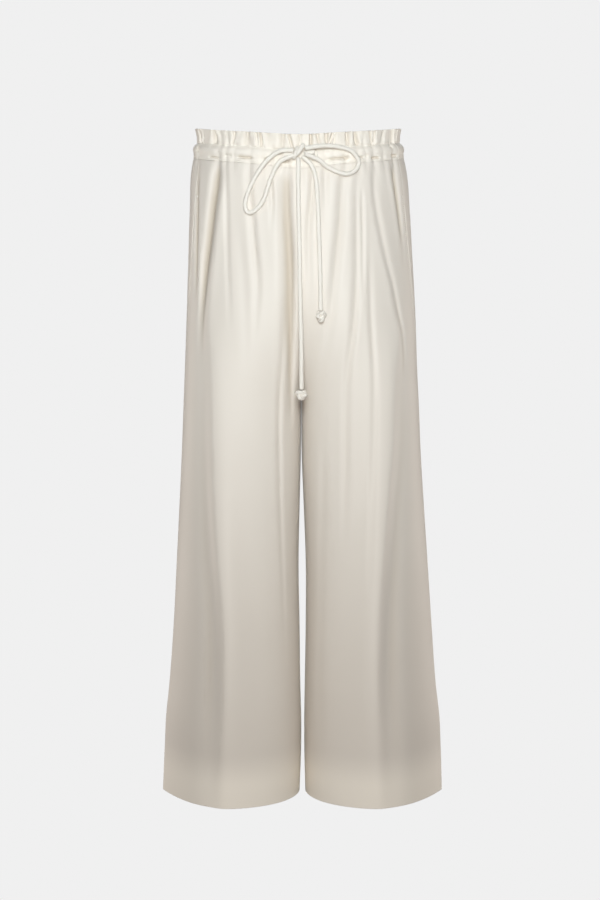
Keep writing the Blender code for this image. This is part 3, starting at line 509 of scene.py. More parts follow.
# %% A leg's ring
GROOVE_TOP = -0.100
CROTCH_ROUND = 2.0
TIP_ROUND = 0.2
NORMAL_STEP = 0.01


def part_of_crotch(level):
    """0 where the two legs' rings are one ellipse, 1 from the crotch down, a round U between."""
    fallen = np.clip((GROOVE_TOP - level) / (GROOVE_TOP - CROTCH), 0, 1)
    return 1 - (1 - fallen ** 2) ** CROTCH_ROUND


def ring_sizes(level, half_gap):
    """A leg ring's middle and half width, measured from the garment's middle."""
    reach = section("half_width", level) - half_gap
    share = part_of_crotch(level)
    return half_gap + reach * share / (1 + share), reach / (1 + share)


def middle_angle(level):
    """The ring angle at which the garment's middle cuts the ring off: arccos(-share)."""
    return np.arccos(-part_of_crotch(level))


def plain_ring(side, level, angle, half_gap):
    """x = centre + radius * cos(angle), y = -depth * sine * (sine**2 + r**2)**((point - 1) / 2).

    The front is positive. A point above 1 draws the ring out to the side, below 1 it squares it,
    and the small r keeps the tip round, as folded cloth is. The divisor makes the middle full."""
    centre, radius = ring_sizes(level, half_gap)
    sine = np.sin(angle)
    point = np.where(np.cos(angle) > 0, section("side_point", level), section("inner_point", level))
    depth = np.where(angle > 0, section("front_depth", level), section("back_depth", level))
    x = section("middle", level) + side * (centre + radius * np.cos(angle))
    shape = ((sine ** 2 + TIP_ROUND ** 2) / (1 + TIP_ROUND ** 2)) ** ((point - 1) / 2)
    return x, -depth * sine * shape


def ring_normal(side, level, angle, half_gap):
    """The level, outward unit normal of the ring, from two points close by."""
    x0, y0 = plain_ring(side, level, angle - NORMAL_STEP, half_gap)
    x1, y1 = plain_ring(side, level, angle + NORMAL_STEP, half_gap)
    across, along = side * (y0 - y1), side * (x1 - x0)
    size = np.hypot(across, along)
    return across / size, along / size


print("the legs part by", round(2000 * float(section("half_gap", -0.625)), 1), "mm at the knee")

# %% [markdown]
# ## Short waves near the waist
# The gathers, the frill's notches and the channel's pinches all sit at a place round the waist, so
# each is a bell or a trough over the way round, faded with height. Their sum is a push outwards.

# %% Gathers, notches and pinches
WAIST_HALF_WIDTH = float(section("half_width", 0.0))
WAIST_RADIUS = math.sqrt(WAIST_HALF_WIDTH * float(section("front_depth", 0.0)))
BANK_AT = 1.7
GATHER_OPENS = 0.9
GATHER_FADE = 0.55
GATHER_BANK = 0.30
GATHER_SPAN = 0.030
NOTCH_FOOT = 0.0085
NOTCH_BANK = 0.22
NOTCH_DEPTH_AT_FOOT = 0.72


def waist_angle(face, x):
    """The waist angle of a place x metres left of the middle, on the front (1) or the back (-1)."""
    return face * math.acos(x / WAIST_HALF_WIDTH)


def turn_apart(turn, centre):
    """The signed way round the waist, in metres, from one waist angle to another."""
    return ((turn - centre + math.pi) % (2 * math.pi) - math.pi) * WAIST_RADIUS


def gather_push(side, level, angle):
    """Sum of the gathers: depth * fade * (0.3 - exp(-(away / width)**2)).

    Below the casing the width grows and the fade falls from 1 to 0."""
    turn = np.where(side > 0, angle, math.pi - angle)
    below = np.maximum(CASING_FOOT - level, 0)
    push = np.zeros(np.broadcast(level, angle).shape)
    for face, gathers in ((1, FRONT_GATHERS), (-1, BACK_GATHERS)):
        for gather in gathers:
            away = turn_apart(turn, waist_angle(face, gather.x))
            width = gather.width * (1 + GATHER_OPENS * below / gather.reach)
            fade = np.exp(-(below / (GATHER_FADE * gather.reach)) ** 2)
            valley = np.exp(-(away / width) ** 2)
            push += gather.depth * fade * (GATHER_BANK - valley) * np.exp(-(away / GATHER_SPAN) ** 2)
    return push


def notch_push(turn, level):
    """The frill's notches: depth * (bank - exp(-q**2)), each leaning from its foot to its top."""
    rise = np.clip((level - NOTCH_FOOT) / (HEADER_TOP - NOTCH_FOOT), 0, 1)
    push = np.zeros(np.broadcast(level, turn).shape)
    for face, notches in ((1, FRONT_NOTCHES), (-1, BACK_NOTCHES)):
        for notch in notches:
            top, foot = waist_angle(face, notch.top), waist_angle(face, notch.foot)
            width = notch.foot_width + (notch.top_width - notch.foot_width) * rise
            q = turn_apart(turn, foot + (top - foot) * rise) / width
            swell = (q / BANK_AT) ** 2
            bank = NOTCH_BANK * swell * np.exp(1 - swell)
            depth = notch.depth * (NOTCH_DEPTH_AT_FOOT + (1 - NOTCH_DEPTH_AT_FOOT) * rise)
            push += depth * (bank - np.exp(-q ** 2))
    return push


def pinch_push(turn, level):
    """The crevices at the channel's edges: -depth * exp(-(along / half_length)**4 - q**2)."""
    push = np.zeros(np.broadcast(level, turn).shape)
    for face, pinches in ((1, FRONT_PINCHES), (-1, BACK_PINCHES)):
        for pinch in pinches:
            along = turn_apart(turn, waist_angle(face, pinch.x)) / pinch.half_length
            q = (level - pinch.level) / pinch.half_height
            push -= pinch.depth * np.exp(-along ** 4 - q ** 2)
    return push


print("waist", round(math.pi * (WAIST_HALF_WIDTH + float(section("front_depth", 0.0))), 2), "m round")

# %% [markdown]
# ## Long folds
# A long fold wanders down the leg, so its table gives its place and depth at several heights. It is
# steeper on one side than on the other, and its banks swell on both sides, as hanging cloth does.

# %% Long folds
MIDDLE_CALM = 0.008
FOLDS_FROM = (CASING_FOOT + 0.006, -0.040)


def crease_push(side, level, angle, half_gap):
    """Sum of the creases: depth * (bank * (q/1.7)**2 * exp(1-(q/1.7)**2) - exp(-q**2)).

    q is the way round the ring from the valley over its width, which differs towards the middle
    of the garment (inner) and away from it (outer), so a fold can be steep on one side only."""
    centre, radius = ring_sizes(level, half_gap)
    middle = section("middle", level)
    push = np.zeros(np.broadcast(level, angle).shape)
    for face, creases in ((1, FRONT_CREASES), (-1, BACK_CREASES)):
        depth_of_ring = section("front_depth" if face > 0 else "back_depth", level)
        for crease in creases:
            if np.all(side * sum(crease.x) < 0):
                continue
            top, foot = crease.levels[0], crease.levels[-1]
            valley_x = smooth_rows(crease.levels, crease.x, level)
            cosine = (np.abs(valley_x - middle) - centre) / radius
            valley_angle = face * np.arccos(np.clip(cosine, -0.99, 0.99))
            away = face * (angle - valley_angle) * np.sqrt(radius * depth_of_ring)
            fallen = np.clip((top - level) / (top - foot), 0, 1)
            inner, outer = (pair[0] + (pair[1] - pair[0]) * fallen
                            for pair in (crease.inner, crease.outer))
            q = away / np.where(away > 0, inner, outer)
            bank = np.where(away > 0, crease.banks[0], crease.banks[1])
            swell = (q / BANK_AT) ** 2
            depth = smooth_rows(crease.levels, crease.depth, level)
            own_leg = np.where(side * sum(crease.x) > 0, 1.0, 0.0)
            push += own_leg * depth * (bank * swell * np.exp(1 - swell) - np.exp(-q ** 2))
    from_middle = (np.abs(angle) - middle_angle(level)) * radius
    calm = 1 - np.exp(-(from_middle / MIDDLE_CALM) ** 2)
    return push * calm * smooth_step(*FOLDS_FROM, level)


print("deepest valley", 1000 * max(max(crease.depth) for crease in FRONT_CREASES), "mm")

# %% [markdown]
# ## A point of the cloth
# The ring and the pushes come together here. The cord's weight and the bow also pull the front of
# the waist down a little, more in the middle, so every level line dips there and is level lower down.

# %% From leg, level and angle to a point
PANEL_WAVE = 0.55
FOLD_SIDEWAYS = 0.3
FRONT_DROP = 0.0145
FRONT_DROP_POWER = 1.2
BOW_DROP = 0.0065
BOW_DROP_WIDTH = 0.050
BOW_DROP_LOST = 0.6
DROP_FOOT, DROP_TOP = -0.300, -0.030
# The fold depths over which shade is painted into the colour.
PAINTED_SHADE_FROM, PAINTED_SHADE_FULL = 0.0010, 0.0085


def cloth_point(side, level, angle, inward=0.0, wave=PANEL_WAVE, half_gap=None):
    """The point on the cloth's outer face, or inward of it: ring + normal * (gathers + folds).

    The folds go mostly straight back, with little of the normal's sideways part."""
    if half_gap is None:
        half_gap = section("half_gap", level)
    x, y = plain_ring(side, level, angle, half_gap)
    normal_x, normal_y = ring_normal(side, level, angle, half_gap)
    push = wave * gather_push(side, level, angle) - inward
    fold = crease_push(side, level, angle, half_gap)
    middle = section("middle", level)
    moved = x + normal_x * (push + FOLD_SIDEWAYS * fold)
    own_side = middle + side * np.maximum(side * (moved - middle), half_gap)
    front = np.clip(np.sin(angle), 0, 1) ** FRONT_DROP_POWER
    lost = BOW_DROP_LOST * smooth_step(-0.010, HEADER_TOP, level)
    bow = np.exp(-(x / BOW_DROP_WIDTH) ** 2) * (1 - lost)
    drop = front * (FRONT_DROP + BOW_DROP * bow)
    z = level - drop * smooth_step(DROP_FOOT, DROP_TOP, level)
    return np.stack(np.broadcast_arrays(own_side, y + normal_y * (push + fold), z), axis=-1)


def painted_fold_shade(side, level, angle, wave=PANEL_WAVE):
    """How deep the cloth lies in a fold, from 0 to 1, for painted shade: less light and a warmer glow reach
    it.
    """
    push = wave * gather_push(side, level, angle)
    push = push + crease_push(side, level, angle, section("half_gap", level))
    return smooth_step(PAINTED_SHADE_FROM, PAINTED_SHADE_FULL, -push)


print("front of the left thigh:", cloth_point(1, -0.5, 1.5).round(3))

# %% [markdown]
# ## The side seam
# The seam runs down the side and comes forward a little near the waist. Along the pocket its two
# edges part by under 3 mm and close again over 50 mm, so that the opening gapes as a soft lens.

# %% The side seam
POCKET_TOP = -0.070
POCKET_FOOT = -0.250
POCKET_GAPE = 0.0026
POCKET_CLOSES = 0.05


def side_radius(level):
    """The mean radius of a level's side, which turns metres along the cloth into an angle."""
    return np.sqrt(section("half_width", level) * section("front_depth", level))


def seam_angle(level, edge):
    """The side seam's ring angle; edge is +1 for the front panel's edge and -1 for the back's."""
    inside_pocket = (smooth_step(POCKET_FOOT, POCKET_FOOT + POCKET_CLOSES, level)
                     * (1 - smooth_step(POCKET_TOP - POCKET_CLOSES, POCKET_TOP, level)))
    gap = SEAM_GAP / 2 + POCKET_GAPE / 2 * inside_pocket
    return np.radians(section("seam_turn", level)) + edge * gap / side_radius(level)


print("pocket openings:", round(1000 * (POCKET_TOP - POCKET_FOOT)), "mm long")

# %% [markdown]
# ## From points to a closed wall
# A panel is two grids of points, the outer and the inner face, sewn together round their rim. Its
# edges are rounded by drawing both faces together over the last fraction of a millimetre. A
# Solidify modifier would thicken a single face too, but this way the inner face can differ: the
# wall is thicker over the turned-up hem, and the casing's channel holds a cord.

# %% Meshes from grids
def put_mesh(name, points, quads, finish, uv=None, marks=None):
    """A smooth mesh from whole arrays. Faces turn outwards: a closed mesh's volume is positive."""
    a, b, c, d = (points[quads[:, k]] for k in range(4))
    volume = (a * np.cross(b, c) + a * np.cross(c, d)).sum()
    if volume < 0:
        quads = quads[:, ::-1]
    mesh = bpy.data.meshes.new(name)
    mesh.vertices.add(len(points))
    mesh.vertices.foreach_set("co", points.astype(np.float32).ravel())
    mesh.loops.add(quads.size)
    mesh.loops.foreach_set("vertex_index", quads.astype(np.int32).ravel())
    mesh.polygons.add(len(quads))
    mesh.polygons.foreach_set("loop_start", np.arange(0, quads.size, 4, dtype=np.int32))
    mesh.update(calc_edges=True)
    if uv is not None:
        layer = mesh.uv_layers.new(name="cloth")
        layer.data.foreach_set("uv", uv[quads.ravel()].astype(np.float32).ravel())
    for mark, values in (marks or {}).items():
        mesh.attributes.new(mark, "FLOAT", "POINT").data.foreach_set("value", values)
    mesh.shade_smooth()
    mesh.materials.append(finish)
    piece = bpy.data.objects.new(name, mesh)
    scene.collection.objects.link(piece)
    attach(piece, "root")
    return piece


def grid_quads(rows, columns):
    """The quads of a grid of points numbered row by row."""
    corner = (np.arange(rows - 1)[:, None] * columns + np.arange(columns - 1)).ravel()
    return np.stack([corner, corner + 1, corner + columns + 1, corner + columns], axis=1)


def shell(name, outer, inner, uv, finish, doubled_and_glow=0.0, hollow=0.0):
    """A closed wall between two grids of the same rows and columns.

    The first mark is 1 where two layers lie on each other and where a glow is painted at the inseam; hollow
    is 1 where shade is painted, deep in folds and crevices."""
    rows, columns = outer.shape[:2]
    count = rows * columns
    face = grid_quads(rows, columns)
    rim = np.concatenate([np.arange(columns), np.arange(1, rows) * columns + columns - 1,
                          (rows - 1) * columns + np.arange(columns - 2, -1, -1),
                          np.arange(rows - 2, 0, -1) * columns])
    following = np.roll(rim, -1)
    edge = np.stack([following, rim, rim + count, following + count], axis=1)
    quads = np.concatenate([face, face[:, ::-1] + count, edge])
    points = np.concatenate([outer.reshape(-1, 3), inner.reshape(-1, 3)])
    marks = {mark: np.tile(np.broadcast_to(value, (rows, columns)).ravel(), 2).astype(np.float32)
             for mark, value in (("doubled_and_glow", doubled_and_glow), ("hollow", hollow))}
    return put_mesh(name, points, quads, finish, np.concatenate([uv.reshape(-1, 2)] * 2), marks)


# %% Rows of points and round edges
EDGE_RADIUS = 0.0007


def spread(count, length, close=(0.0, 0.0003, 0.0008, 0.0016)):
    """Shares from 0 to 1 of a length in metres: close together at both ends, even between."""
    near = np.array(close) / length
    return np.concatenate([near[:-1], np.linspace(near[-1], 1 - near[-1], count), 1 - near[::-1][1:]])


def edge_round(distance, radius):
    """How far a rounded edge falls away: r - sqrt(r**2 - (r - d)**2) within r of the edge."""
    short = np.clip(radius - distance, 0, radius)
    return radius - np.sqrt(radius ** 2 - short ** 2)


print("a rounded edge is", round(1000 * edge_round(0.0, EDGE_RADIUS), 1), "mm lower at its rim")

# %% [markdown]
# ## Leg panels
# Each leg is a front and a back panel, from the casing's stitching to the hem. The hem is turned up
# 70 mm and caught with hidden stitches, so two layers lie there and the face stands a little prouder.
# A flat pattern could be sewn and draped by a simulation, but then the folds would fall where they
# like. Here a formula hangs them where this pair has them.

# %% Leg panels
PANEL_TOP = -0.0163
HEM_TURN_UP = 0.070
WALL, HEM_WALL = 0.0016, 0.0024
PANEL_COLUMNS = 118
PANEL_ROWS = 236
ROWS_TO_TOP, ROWS_POWER = 0.35, 1.7
HEM_STEP = 0.0002
HEM_STEP_SOFT = 0.0070
HEM_SHADE = (0.085, 0.028)
SEAM_ALLOWANCE = 0.014
# Levels over which the inseam's painted glow comes in.
TURNED_IN_GLOW_FROM, TURNED_IN_GLOW_FULL = -0.40, -0.56


def panel(name, side, face):
    """A grid over level and angle, from the middle seam and inseam round to the side seam."""
    fall = spread(PANEL_ROWS, PANEL_TOP - HEM, close=(0.0, 0.0004, 0.0009, 0.0018))
    fall = ROWS_TO_TOP * fall ** ROWS_POWER + (1 - ROWS_TO_TOP) * fall
    level = (PANEL_TOP - (PANEL_TOP - HEM) * fall)[:, None]
    width = 0.5 * math.pi * float(section("half_width", CROTCH))
    share = spread(PANEL_COLUMNS, width)[None, :]
    start = face * middle_angle(level)
    angle = start + (seam_angle(level, face) - start) * share
    to_edge = np.minimum(np.minimum(share, 1 - share) * width, level - HEM)
    rounding = edge_round(to_edge, EDGE_RADIUS)
    turn_up = 1 - smooth_step(HEM + HEM_TURN_UP - HEM_STEP_SOFT, HEM + HEM_TURN_UP, level)
    wall = WALL + (HEM_WALL - WALL) * turn_up
    outer = cloth_point(side, level, angle, rounding - HEM_STEP * turn_up)
    inner = cloth_point(side, level, angle, wall - rounding)
    uv = np.stack(np.broadcast_arrays(side * (share * width + face * 0.5), level), axis=-1)
    # The inseam's seam allowance lies doubled; lower on the legs its lightness is also a painted glow between
    # the legs.
    turned_in_and_glow = smooth_step(SEAM_ALLOWANCE, 0.3 * SEAM_ALLOWANCE, share * width)
    turned_in_and_glow = turned_in_and_glow * smooth_step(TURNED_IN_GLOW_FROM, TURNED_IN_GLOW_FULL, level)
    lighter = np.maximum(turned_in_and_glow, smooth_step(HEM + HEM_SHADE[0], HEM + HEM_SHADE[1], level))
    # Deep folds get painted shade in their colour.
    return shell(name, outer, inner, uv, cloth, lighter, painted_fold_shade(side, level, angle))


for side, where in ((1, "left"), (-1, "right")):
    for face, part in ((1, "front"), (-1, "back")):
        name = f"{part}_{where}"
        panel(f"cloth_{name}", side, face)
        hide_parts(name)

# %% [markdown]
# ## The gathered casing
# The waist is folded over and stitched twice: below the frill and at its lower edge. Between the
# rows of stitching runs the cord, which swells the cloth into a soft tube. Where the cloth is let in
# it waves: least over the cord, which holds it. One profile carried round the waist gives all this,
# and a short table of rows says how far each height swells and waves and how thick it is.

# %% The casing's profile
CasingRow = namedtuple("CasingRow", "level swell wall wave")
CASING_ROWS = [
    CasingRow(CASING_FOOT, 0.0001, 0.0020, 0.55),
    CasingRow(-0.0152, 0.0002, 0.0020, 0.55),
    CasingRow(-0.0146, -0.0004, 0.0018, 0.55),
    CasingRow(-0.0140, 0.0003, 0.0022, 0.55),
    CasingRow(-0.0115, 0.0008, 0.0028, 0.55),
    CasingRow(-0.0088, 0.0012, 0.0034, 0.50),
    CasingRow(-0.0064, 0.0022, 0.0052, 0.42),
    CasingRow(-0.0035, 0.0036, 0.0074, 0.34),
    CasingRow(0.0000, 0.0042, 0.0086, 0.30),
    CasingRow(0.0035, 0.0032, 0.0070, 0.34),
    CasingRow(0.0058, 0.0012, 0.0040, 0.42),
    CasingRow(0.0072, -0.0001, 0.0022, 0.50),
    CasingRow(0.0086, 0.0004, 0.0022, 0.55),
    CasingRow(0.0180, 0.0012, 0.0020, 0.40),
    CasingRow(HEADER_TOP, 0.0022, 0.0018, 0.30),
]
print("casing:", round(1000 * (HEADER_TOP - CASING_FOOT)), "mm tall")


# %% A point of the casing
FRILL_FROM, FRILL_FULL = 0.0060, 0.0105


def casing_turn(face, count):
    """Waist angles from side seam to side seam, over the front or round the back."""
    seam = float(np.radians(section("seam_turn", 0.0)))
    gap = SEAM_GAP / 2 / float(section("front_depth", 0.0))
    if face > 0:
        low, high = seam + gap, math.pi - seam - gap
    else:
        low, high = -math.pi - seam + gap, seam - gap
    return low + (high - low) * spread(count, (high - low) * WAIST_RADIUS)


def waist_to_ring(turn):
    """A waist angle's leg and its angle on that leg's ring."""
    turn = (turn + math.pi) % (2 * math.pi) - math.pi
    side = np.where(np.abs(turn) <= math.pi / 2, 1, -1)
    return side, np.where(side > 0, turn, np.where(turn > 0, math.pi - turn, -math.pi - turn))


def casing_row(column, level):
    """One column of the casing's rows at any level."""
    return column_at(CASING_ROWS, column, level)


def casing_relief(level, turn):
    """Notches in the frill and pinches below it: share * notches + (1 - share) * pinches."""
    in_frill = smooth_step(FRILL_FROM, FRILL_FULL, level)
    relief = in_frill * notch_push(turn, level) + (1 - in_frill) * pinch_push(turn, level)
    return relief, in_frill


def casing_face(level, turn, out=0.0):
    """Points on the casing's outer face, or out of it."""
    side, angle = waist_to_ring(turn)
    relief, in_frill = casing_relief(level, turn)
    return cloth_point(side, level, angle, -casing_row("swell", level) - relief - out,
                       casing_row("wave", level), 0.0)


# %% Casing walls
CASING_GRID_ROWS = 60
CASING_GRID_COLUMNS = 560
CASING_DOUBLED = 0.45
# How deep a pinch must be, and how strong, for shade to be painted into its crevice.
CREVICE_FROM, CREVICE_FULL = 0.0003, 0.0030
CREVICE_SHADE, CREVICE_DEEPER = 0.35, 0.25


def casing(name, face):
    """The casing's profile carried round the waist: swell, wall and wave come from its rows.

    A pinch pushes the inner face in too, but a bank in the channel leaves it where it is."""
    rise = spread(CASING_GRID_ROWS, HEADER_TOP - CASING_FOOT)
    level = (CASING_FOOT + (HEADER_TOP - CASING_FOOT) * rise)[:, None]
    turn = casing_turn(face, CASING_GRID_COLUMNS)[None, :]
    side, angle = waist_to_ring(turn)
    swell, wall, wave = (casing_row(column, level) for column in ("swell", "wall", "wave"))
    along = (turn - turn.min()) * WAIST_RADIUS
    to_end = np.minimum(along, along.max() - along)
    rounding = edge_round(np.minimum(to_end, HEADER_TOP - level), EDGE_RADIUS)
    relief, in_frill = casing_relief(level, turn)
    outer = cloth_point(side, level, angle, rounding - swell - relief, wave, 0.0)
    inside = wall - swell - np.where(level > FRILL_FROM, relief, np.minimum(relief, 0))
    inner = cloth_point(side, level, angle, np.maximum(inside - rounding, rounding - swell - relief),
                        wave, 0.0)
    uv = np.stack(np.broadcast_arrays(along, level), axis=-1)
    # Painted shade: deep gathers and the pinched crevices are darkened and warmed in the colour.
    gathered = painted_fold_shade(side, level, angle, wave)
    shade = CREVICE_SHADE + CREVICE_DEEPER * (1 - in_frill)
    crevice = smooth_step(CREVICE_FROM, CREVICE_FULL, -relief) * shade
    return shell(name, outer, inner, uv, cloth, CASING_DOUBLED, np.maximum(gathered, crevice))


for part, face in (("front", 1), ("back", -1)):
    casing(f"cloth_waist_casing_{part}", face)
    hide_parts(f"waist_casing_{part}")

# %% [markdown]
# ## Pocket facings
# The pockets open in the side seams. Behind each slightly gaping slit lies the pocket's facing. It
# is a strip of the panel's own points, moved in by the wall and a small gap, so it follows its folds.

# %% Pocket facings
FACING_WIDTH = 0.016
FACING_WALL = 0.0010
FACING_GAP = 0.0007
FACING_ROWS, FACING_COLUMNS = 60, 12

for side, where in ((1, "left"), (-1, "right")):
    level = np.linspace(POCKET_TOP, POCKET_FOOT, FACING_ROWS)[:, None]
    share = np.linspace(-0.5, 0.5, FACING_COLUMNS)[None, :]
    angle = np.radians(section("seam_turn", level)) + share * FACING_WIDTH / side_radius(level)
    near = WALL + FACING_GAP
    uv = np.stack(np.broadcast_arrays(share * FACING_WIDTH, level), axis=-1)
    shell(f"cloth_pocket_facing_{where}", cloth_point(side, level, angle, near),
                           cloth_point(side, level, angle, near + FACING_WALL), uv, cloth)
    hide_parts(f"pocket_facing_{where}")

# %% [markdown]
# ## Stitching
# Two rows hold the casing, a row runs down the front edge of each pocket and a bar tack closes each
# of its ends. Two small worked buttonholes let the drawstring out beside the middle front. Every
# stitch is a short thread of its own, which dips into the cloth at both ends. A bump could hint at
# them, but real threads catch the light and stay in the shape.

# %% Stitches
THREAD_RADIUS = 0.00030
STITCH_PITCH = 0.0030
STITCH_SHARE = 0.68
STITCH_DIP, STITCH_RISE = 0.00015, 0.00018
OUT_STRETCH = (1.0, 1.7, 0.0)


def stitches(name, starts, ends, out):
    """Threads from starts to ends: three rings each, of four points, which dip in at both ends."""
    along = ends - starts
    across = np.cross(along, out)
    across /= np.linalg.norm(across, axis=1)[:, None]
    rings = []
    for share, lift, size in ((0.0, -STITCH_DIP, 0.5), (0.5, STITCH_RISE, 1.0), (1.0, -STITCH_DIP, 0.5)):
        for turn in np.radians((45, 135, 225, 315)):
            spoke = math.cos(turn) * across + math.sin(turn) * out
            rings.append(starts + share * along + lift * out + size * THREAD_RADIUS * spoke)
    points = np.stack(rings, axis=1).reshape(-1, 3)
    side = [(4 * ring + k, 4 * ring + (k + 1) % 4, 4 * ring + 4 + (k + 1) % 4, 4 * ring + 4 + k)
            for ring in range(2) for k in range(4)]
    one = np.array(side + [(3, 2, 1, 0), (8, 9, 10, 11)])
    quads = (one[None] + 12 * np.arange(len(starts))[:, None, None]).reshape(-1, 4)
    uv = np.stack([points[:, 0], points[:, 2]], axis=1)
    piece = put_mesh(name, points, quads, thread, uv)
    return piece


def outward(points):
    """A rough outward direction in the level for points on the garment."""
    away = points * OUT_STRETCH
    return away / np.linalg.norm(away, axis=1)[:, None]


# %% Stitching along the casing
CASING_STITCH_LEVELS = (0.0079, -0.0146)
STITCH_STOPS_SHORT = 0.03
STITCH_PROUD = 0.00005


def casing_stitches(name, face, levels):
    """Rows of running stitch along the casing, 3 mm to a stitch and its gap."""
    turns = casing_turn(face, 3)
    low, high = turns[0] + STITCH_STOPS_SHORT, turns[-1] - STITCH_STOPS_SHORT
    count = round((high - low) * WAIST_RADIUS / STITCH_PITCH)
    starts, ends = [], []
    for level in levels:
        turn = np.linspace(low, high, count, endpoint=False)
        share = STITCH_SHARE * (high - low) / count
        starts.append(casing_face(np.full(count, level), turn, STITCH_PROUD))
        ends.append(casing_face(np.full(count, level), turn + share, STITCH_PROUD))
    starts, ends = np.concatenate(starts), np.concatenate(ends)
    return stitches(name, starts, ends, outward(starts))


for part, face in (("front", 1), ("back", -1)):
    rows = casing_stitches(f"casing_stitches_{part}", face, CASING_STITCH_LEVELS)
    print(rows.name, len(rows.data.polygons) // 10, "stitches")

# %% Stitching at the pockets
POCKET_STITCH = 0.0055
BAR_TACK_HALF, BAR_TACK_THREADS, BAR_TACK_IN = 0.0012, 7, 0.0004


def pocket_stitches(name, side):
    """A row beside the pocket's opening on the front panel, and a bar tack across each end."""
    def place(level, inside):
        """Points on the front panel, inside metres in front of the side seam."""
        angle = seam_angle(level, 1) + inside / side_radius(level)
        return cloth_point(side, level, angle, -STITCH_PROUD)

    count = round((POCKET_TOP - POCKET_FOOT) / STITCH_PITCH)
    level = np.linspace(POCKET_TOP, POCKET_FOOT, count, endpoint=False)
    starts = place(level, POCKET_STITCH)
    ends = place(level - STITCH_SHARE * STITCH_PITCH, POCKET_STITCH)
    for end in (POCKET_TOP, POCKET_FOOT):
        rows = end + np.linspace(-BAR_TACK_HALF, BAR_TACK_HALF, BAR_TACK_THREADS)
        starts = np.concatenate([starts, place(rows, BAR_TACK_IN)])
        ends = np.concatenate([ends, place(rows, POCKET_STITCH + BAR_TACK_IN)])
    return stitches(name, starts, ends, outward(starts))


for side, where in ((1, "left"), (-1, "right")):
    rows = pocket_stitches(f"pocket_stitches_{where}", side)
    print(rows.name, len(rows.data.polygons) // 10, "stitches")

# %% Buttonholes
BUTTONHOLE_HALF = (0.0019, 0.0058)
BUTTONHOLES = ((-0.0205, -0.0015), (0.0245, 0.0015))
SPOKES = 44
SPOKE_FROM, SPOKE_TO = -0.0004, 0.0014
SPOKE_PROUD, SLIT_PROUD = 0.0002, 0.00012


def buttonhole(name, x, level):
    """Satin stitches set like spokes round an upright slit, whose shade is painted on a dark disc."""
    turn = waist_angle(1, x)
    t = np.linspace(0, 2 * math.pi, SPOKES, endpoint=False)
    half_width, half_height = BUTTONHOLE_HALF

    def ring(grow, out):
        """An upright oval on the casing, grown by some metres and standing out of the cloth."""
        beside = (half_width + grow) * np.cos(t) / WAIST_RADIUS
        return casing_face(level + (half_height + grow) * np.sin(t), turn + beside, out)

    stitches(f"{name}_rim", ring(SPOKE_FROM, SPOKE_PROUD), ring(SPOKE_TO, SPOKE_PROUD),
             outward(ring(0, 0)))
    # The hole's shade is painted: a dark disc lies over the slit.
    edge = ring(0.0, SLIT_PROUD)
    middle = np.repeat(edge.mean(axis=0)[None], len(t), axis=0)
    points = np.concatenate([edge, edge * 0.5 + middle * 0.5, middle[:1]])
    here = np.arange(len(t))
    beside = np.roll(here, -1)
    quads = np.stack([here, beside, beside + len(t), here + len(t)], axis=1)
    fan = np.stack([here[::2] + len(t), beside[::2] + len(t), beside[1::2] + len(t),
                    np.full(len(t) // 2, 2 * len(t))], axis=1)
    slit = put_mesh(f"{name}_slit", points, np.concatenate([quads, fan]), painted_slit_shadow,
                    np.stack([points[:, 0], points[:, 2]], axis=1))


for where, (x, level) in zip(("right", "left"), BUTTONHOLES):
    buttonhole(f"buttonhole_{where}", x, level)
print("buttonholes:", len(BUTTONHOLES), "each", round(2000 * BUTTONHOLE_HALF[1], 1), "mm tall")

# %% [markdown]
# ## The drawstring
# The cord is a round tube of the same cloth. Its loops and tails follow listed points, read
# through a smooth curve, and its knots are short lengths of the same cord wound as a hand ties them.
# A curve with a bevel would look much the same; rings of points give even faces and round ends.

# %% Routes of the cord
LOOP_RIGHT_ROUTE = [
    (-0.0074, -0.1218, -0.0130), (-0.0226, -0.1220, -0.0133), (-0.0363, -0.1175, -0.0200),
    (-0.0498, -0.1138, -0.0332), (-0.0628, -0.1112, -0.0530), (-0.0722, -0.1102, -0.0735),
    (-0.0757, -0.1096, -0.0890), (-0.0732, -0.1100, -0.0985), (-0.0664, -0.1112, -0.0999),
    (-0.0562, -0.1138, -0.0930), (-0.0480, -0.1165, -0.0800), (-0.0432, -0.1168, -0.0648),
    (-0.0363, -0.1165, -0.0465), (-0.0253, -0.1192, -0.0286), (-0.0064, -0.1218, -0.0198),
]
LOOP_LEFT_ROUTE = [
    (0.0110, -0.1220, -0.0100), (0.0346, -0.1185, -0.0064), (0.0564, -0.1130, -0.0070),
    (0.0750, -0.1072, -0.0120), (0.0848, -0.1038, -0.0216), (0.0872, -0.1026, -0.0304),
    (0.0822, -0.1054, -0.0402), (0.0718, -0.1090, -0.0452), (0.0591, -0.1122, -0.0436),
    (0.0427, -0.1135, -0.0362), (0.0292, -0.1180, -0.0259), (0.0105, -0.1225, -0.0180),
]
TAIL_CENTRE_ROUTE = [
    (0.0006, -0.1205, -0.0242), (0.0006, -0.1203, -0.0545), (0.0010, -0.1210, -0.0908),
    (0.0023, -0.1217, -0.1537), (0.0033, -0.1217, -0.2214), (0.0047, -0.1215, -0.2894),
    (0.0052, -0.1212, -0.3525),
]
TAIL_LEFT_ROUTE = [
    (0.0069, -0.1183, -0.0217), (0.0190, -0.1180, -0.0335), (0.0258, -0.1182, -0.0545),
    (0.0284, -0.1194, -0.0884), (0.0312, -0.1215, -0.1672), (0.0328, -0.1220, -0.2395),
]
ENTRY_RIGHT_ROUTE = [(-0.0190, -0.1162, -0.0180), (-0.0130, -0.1159, -0.0182),
                     (-0.0062, -0.1156, -0.0180)]
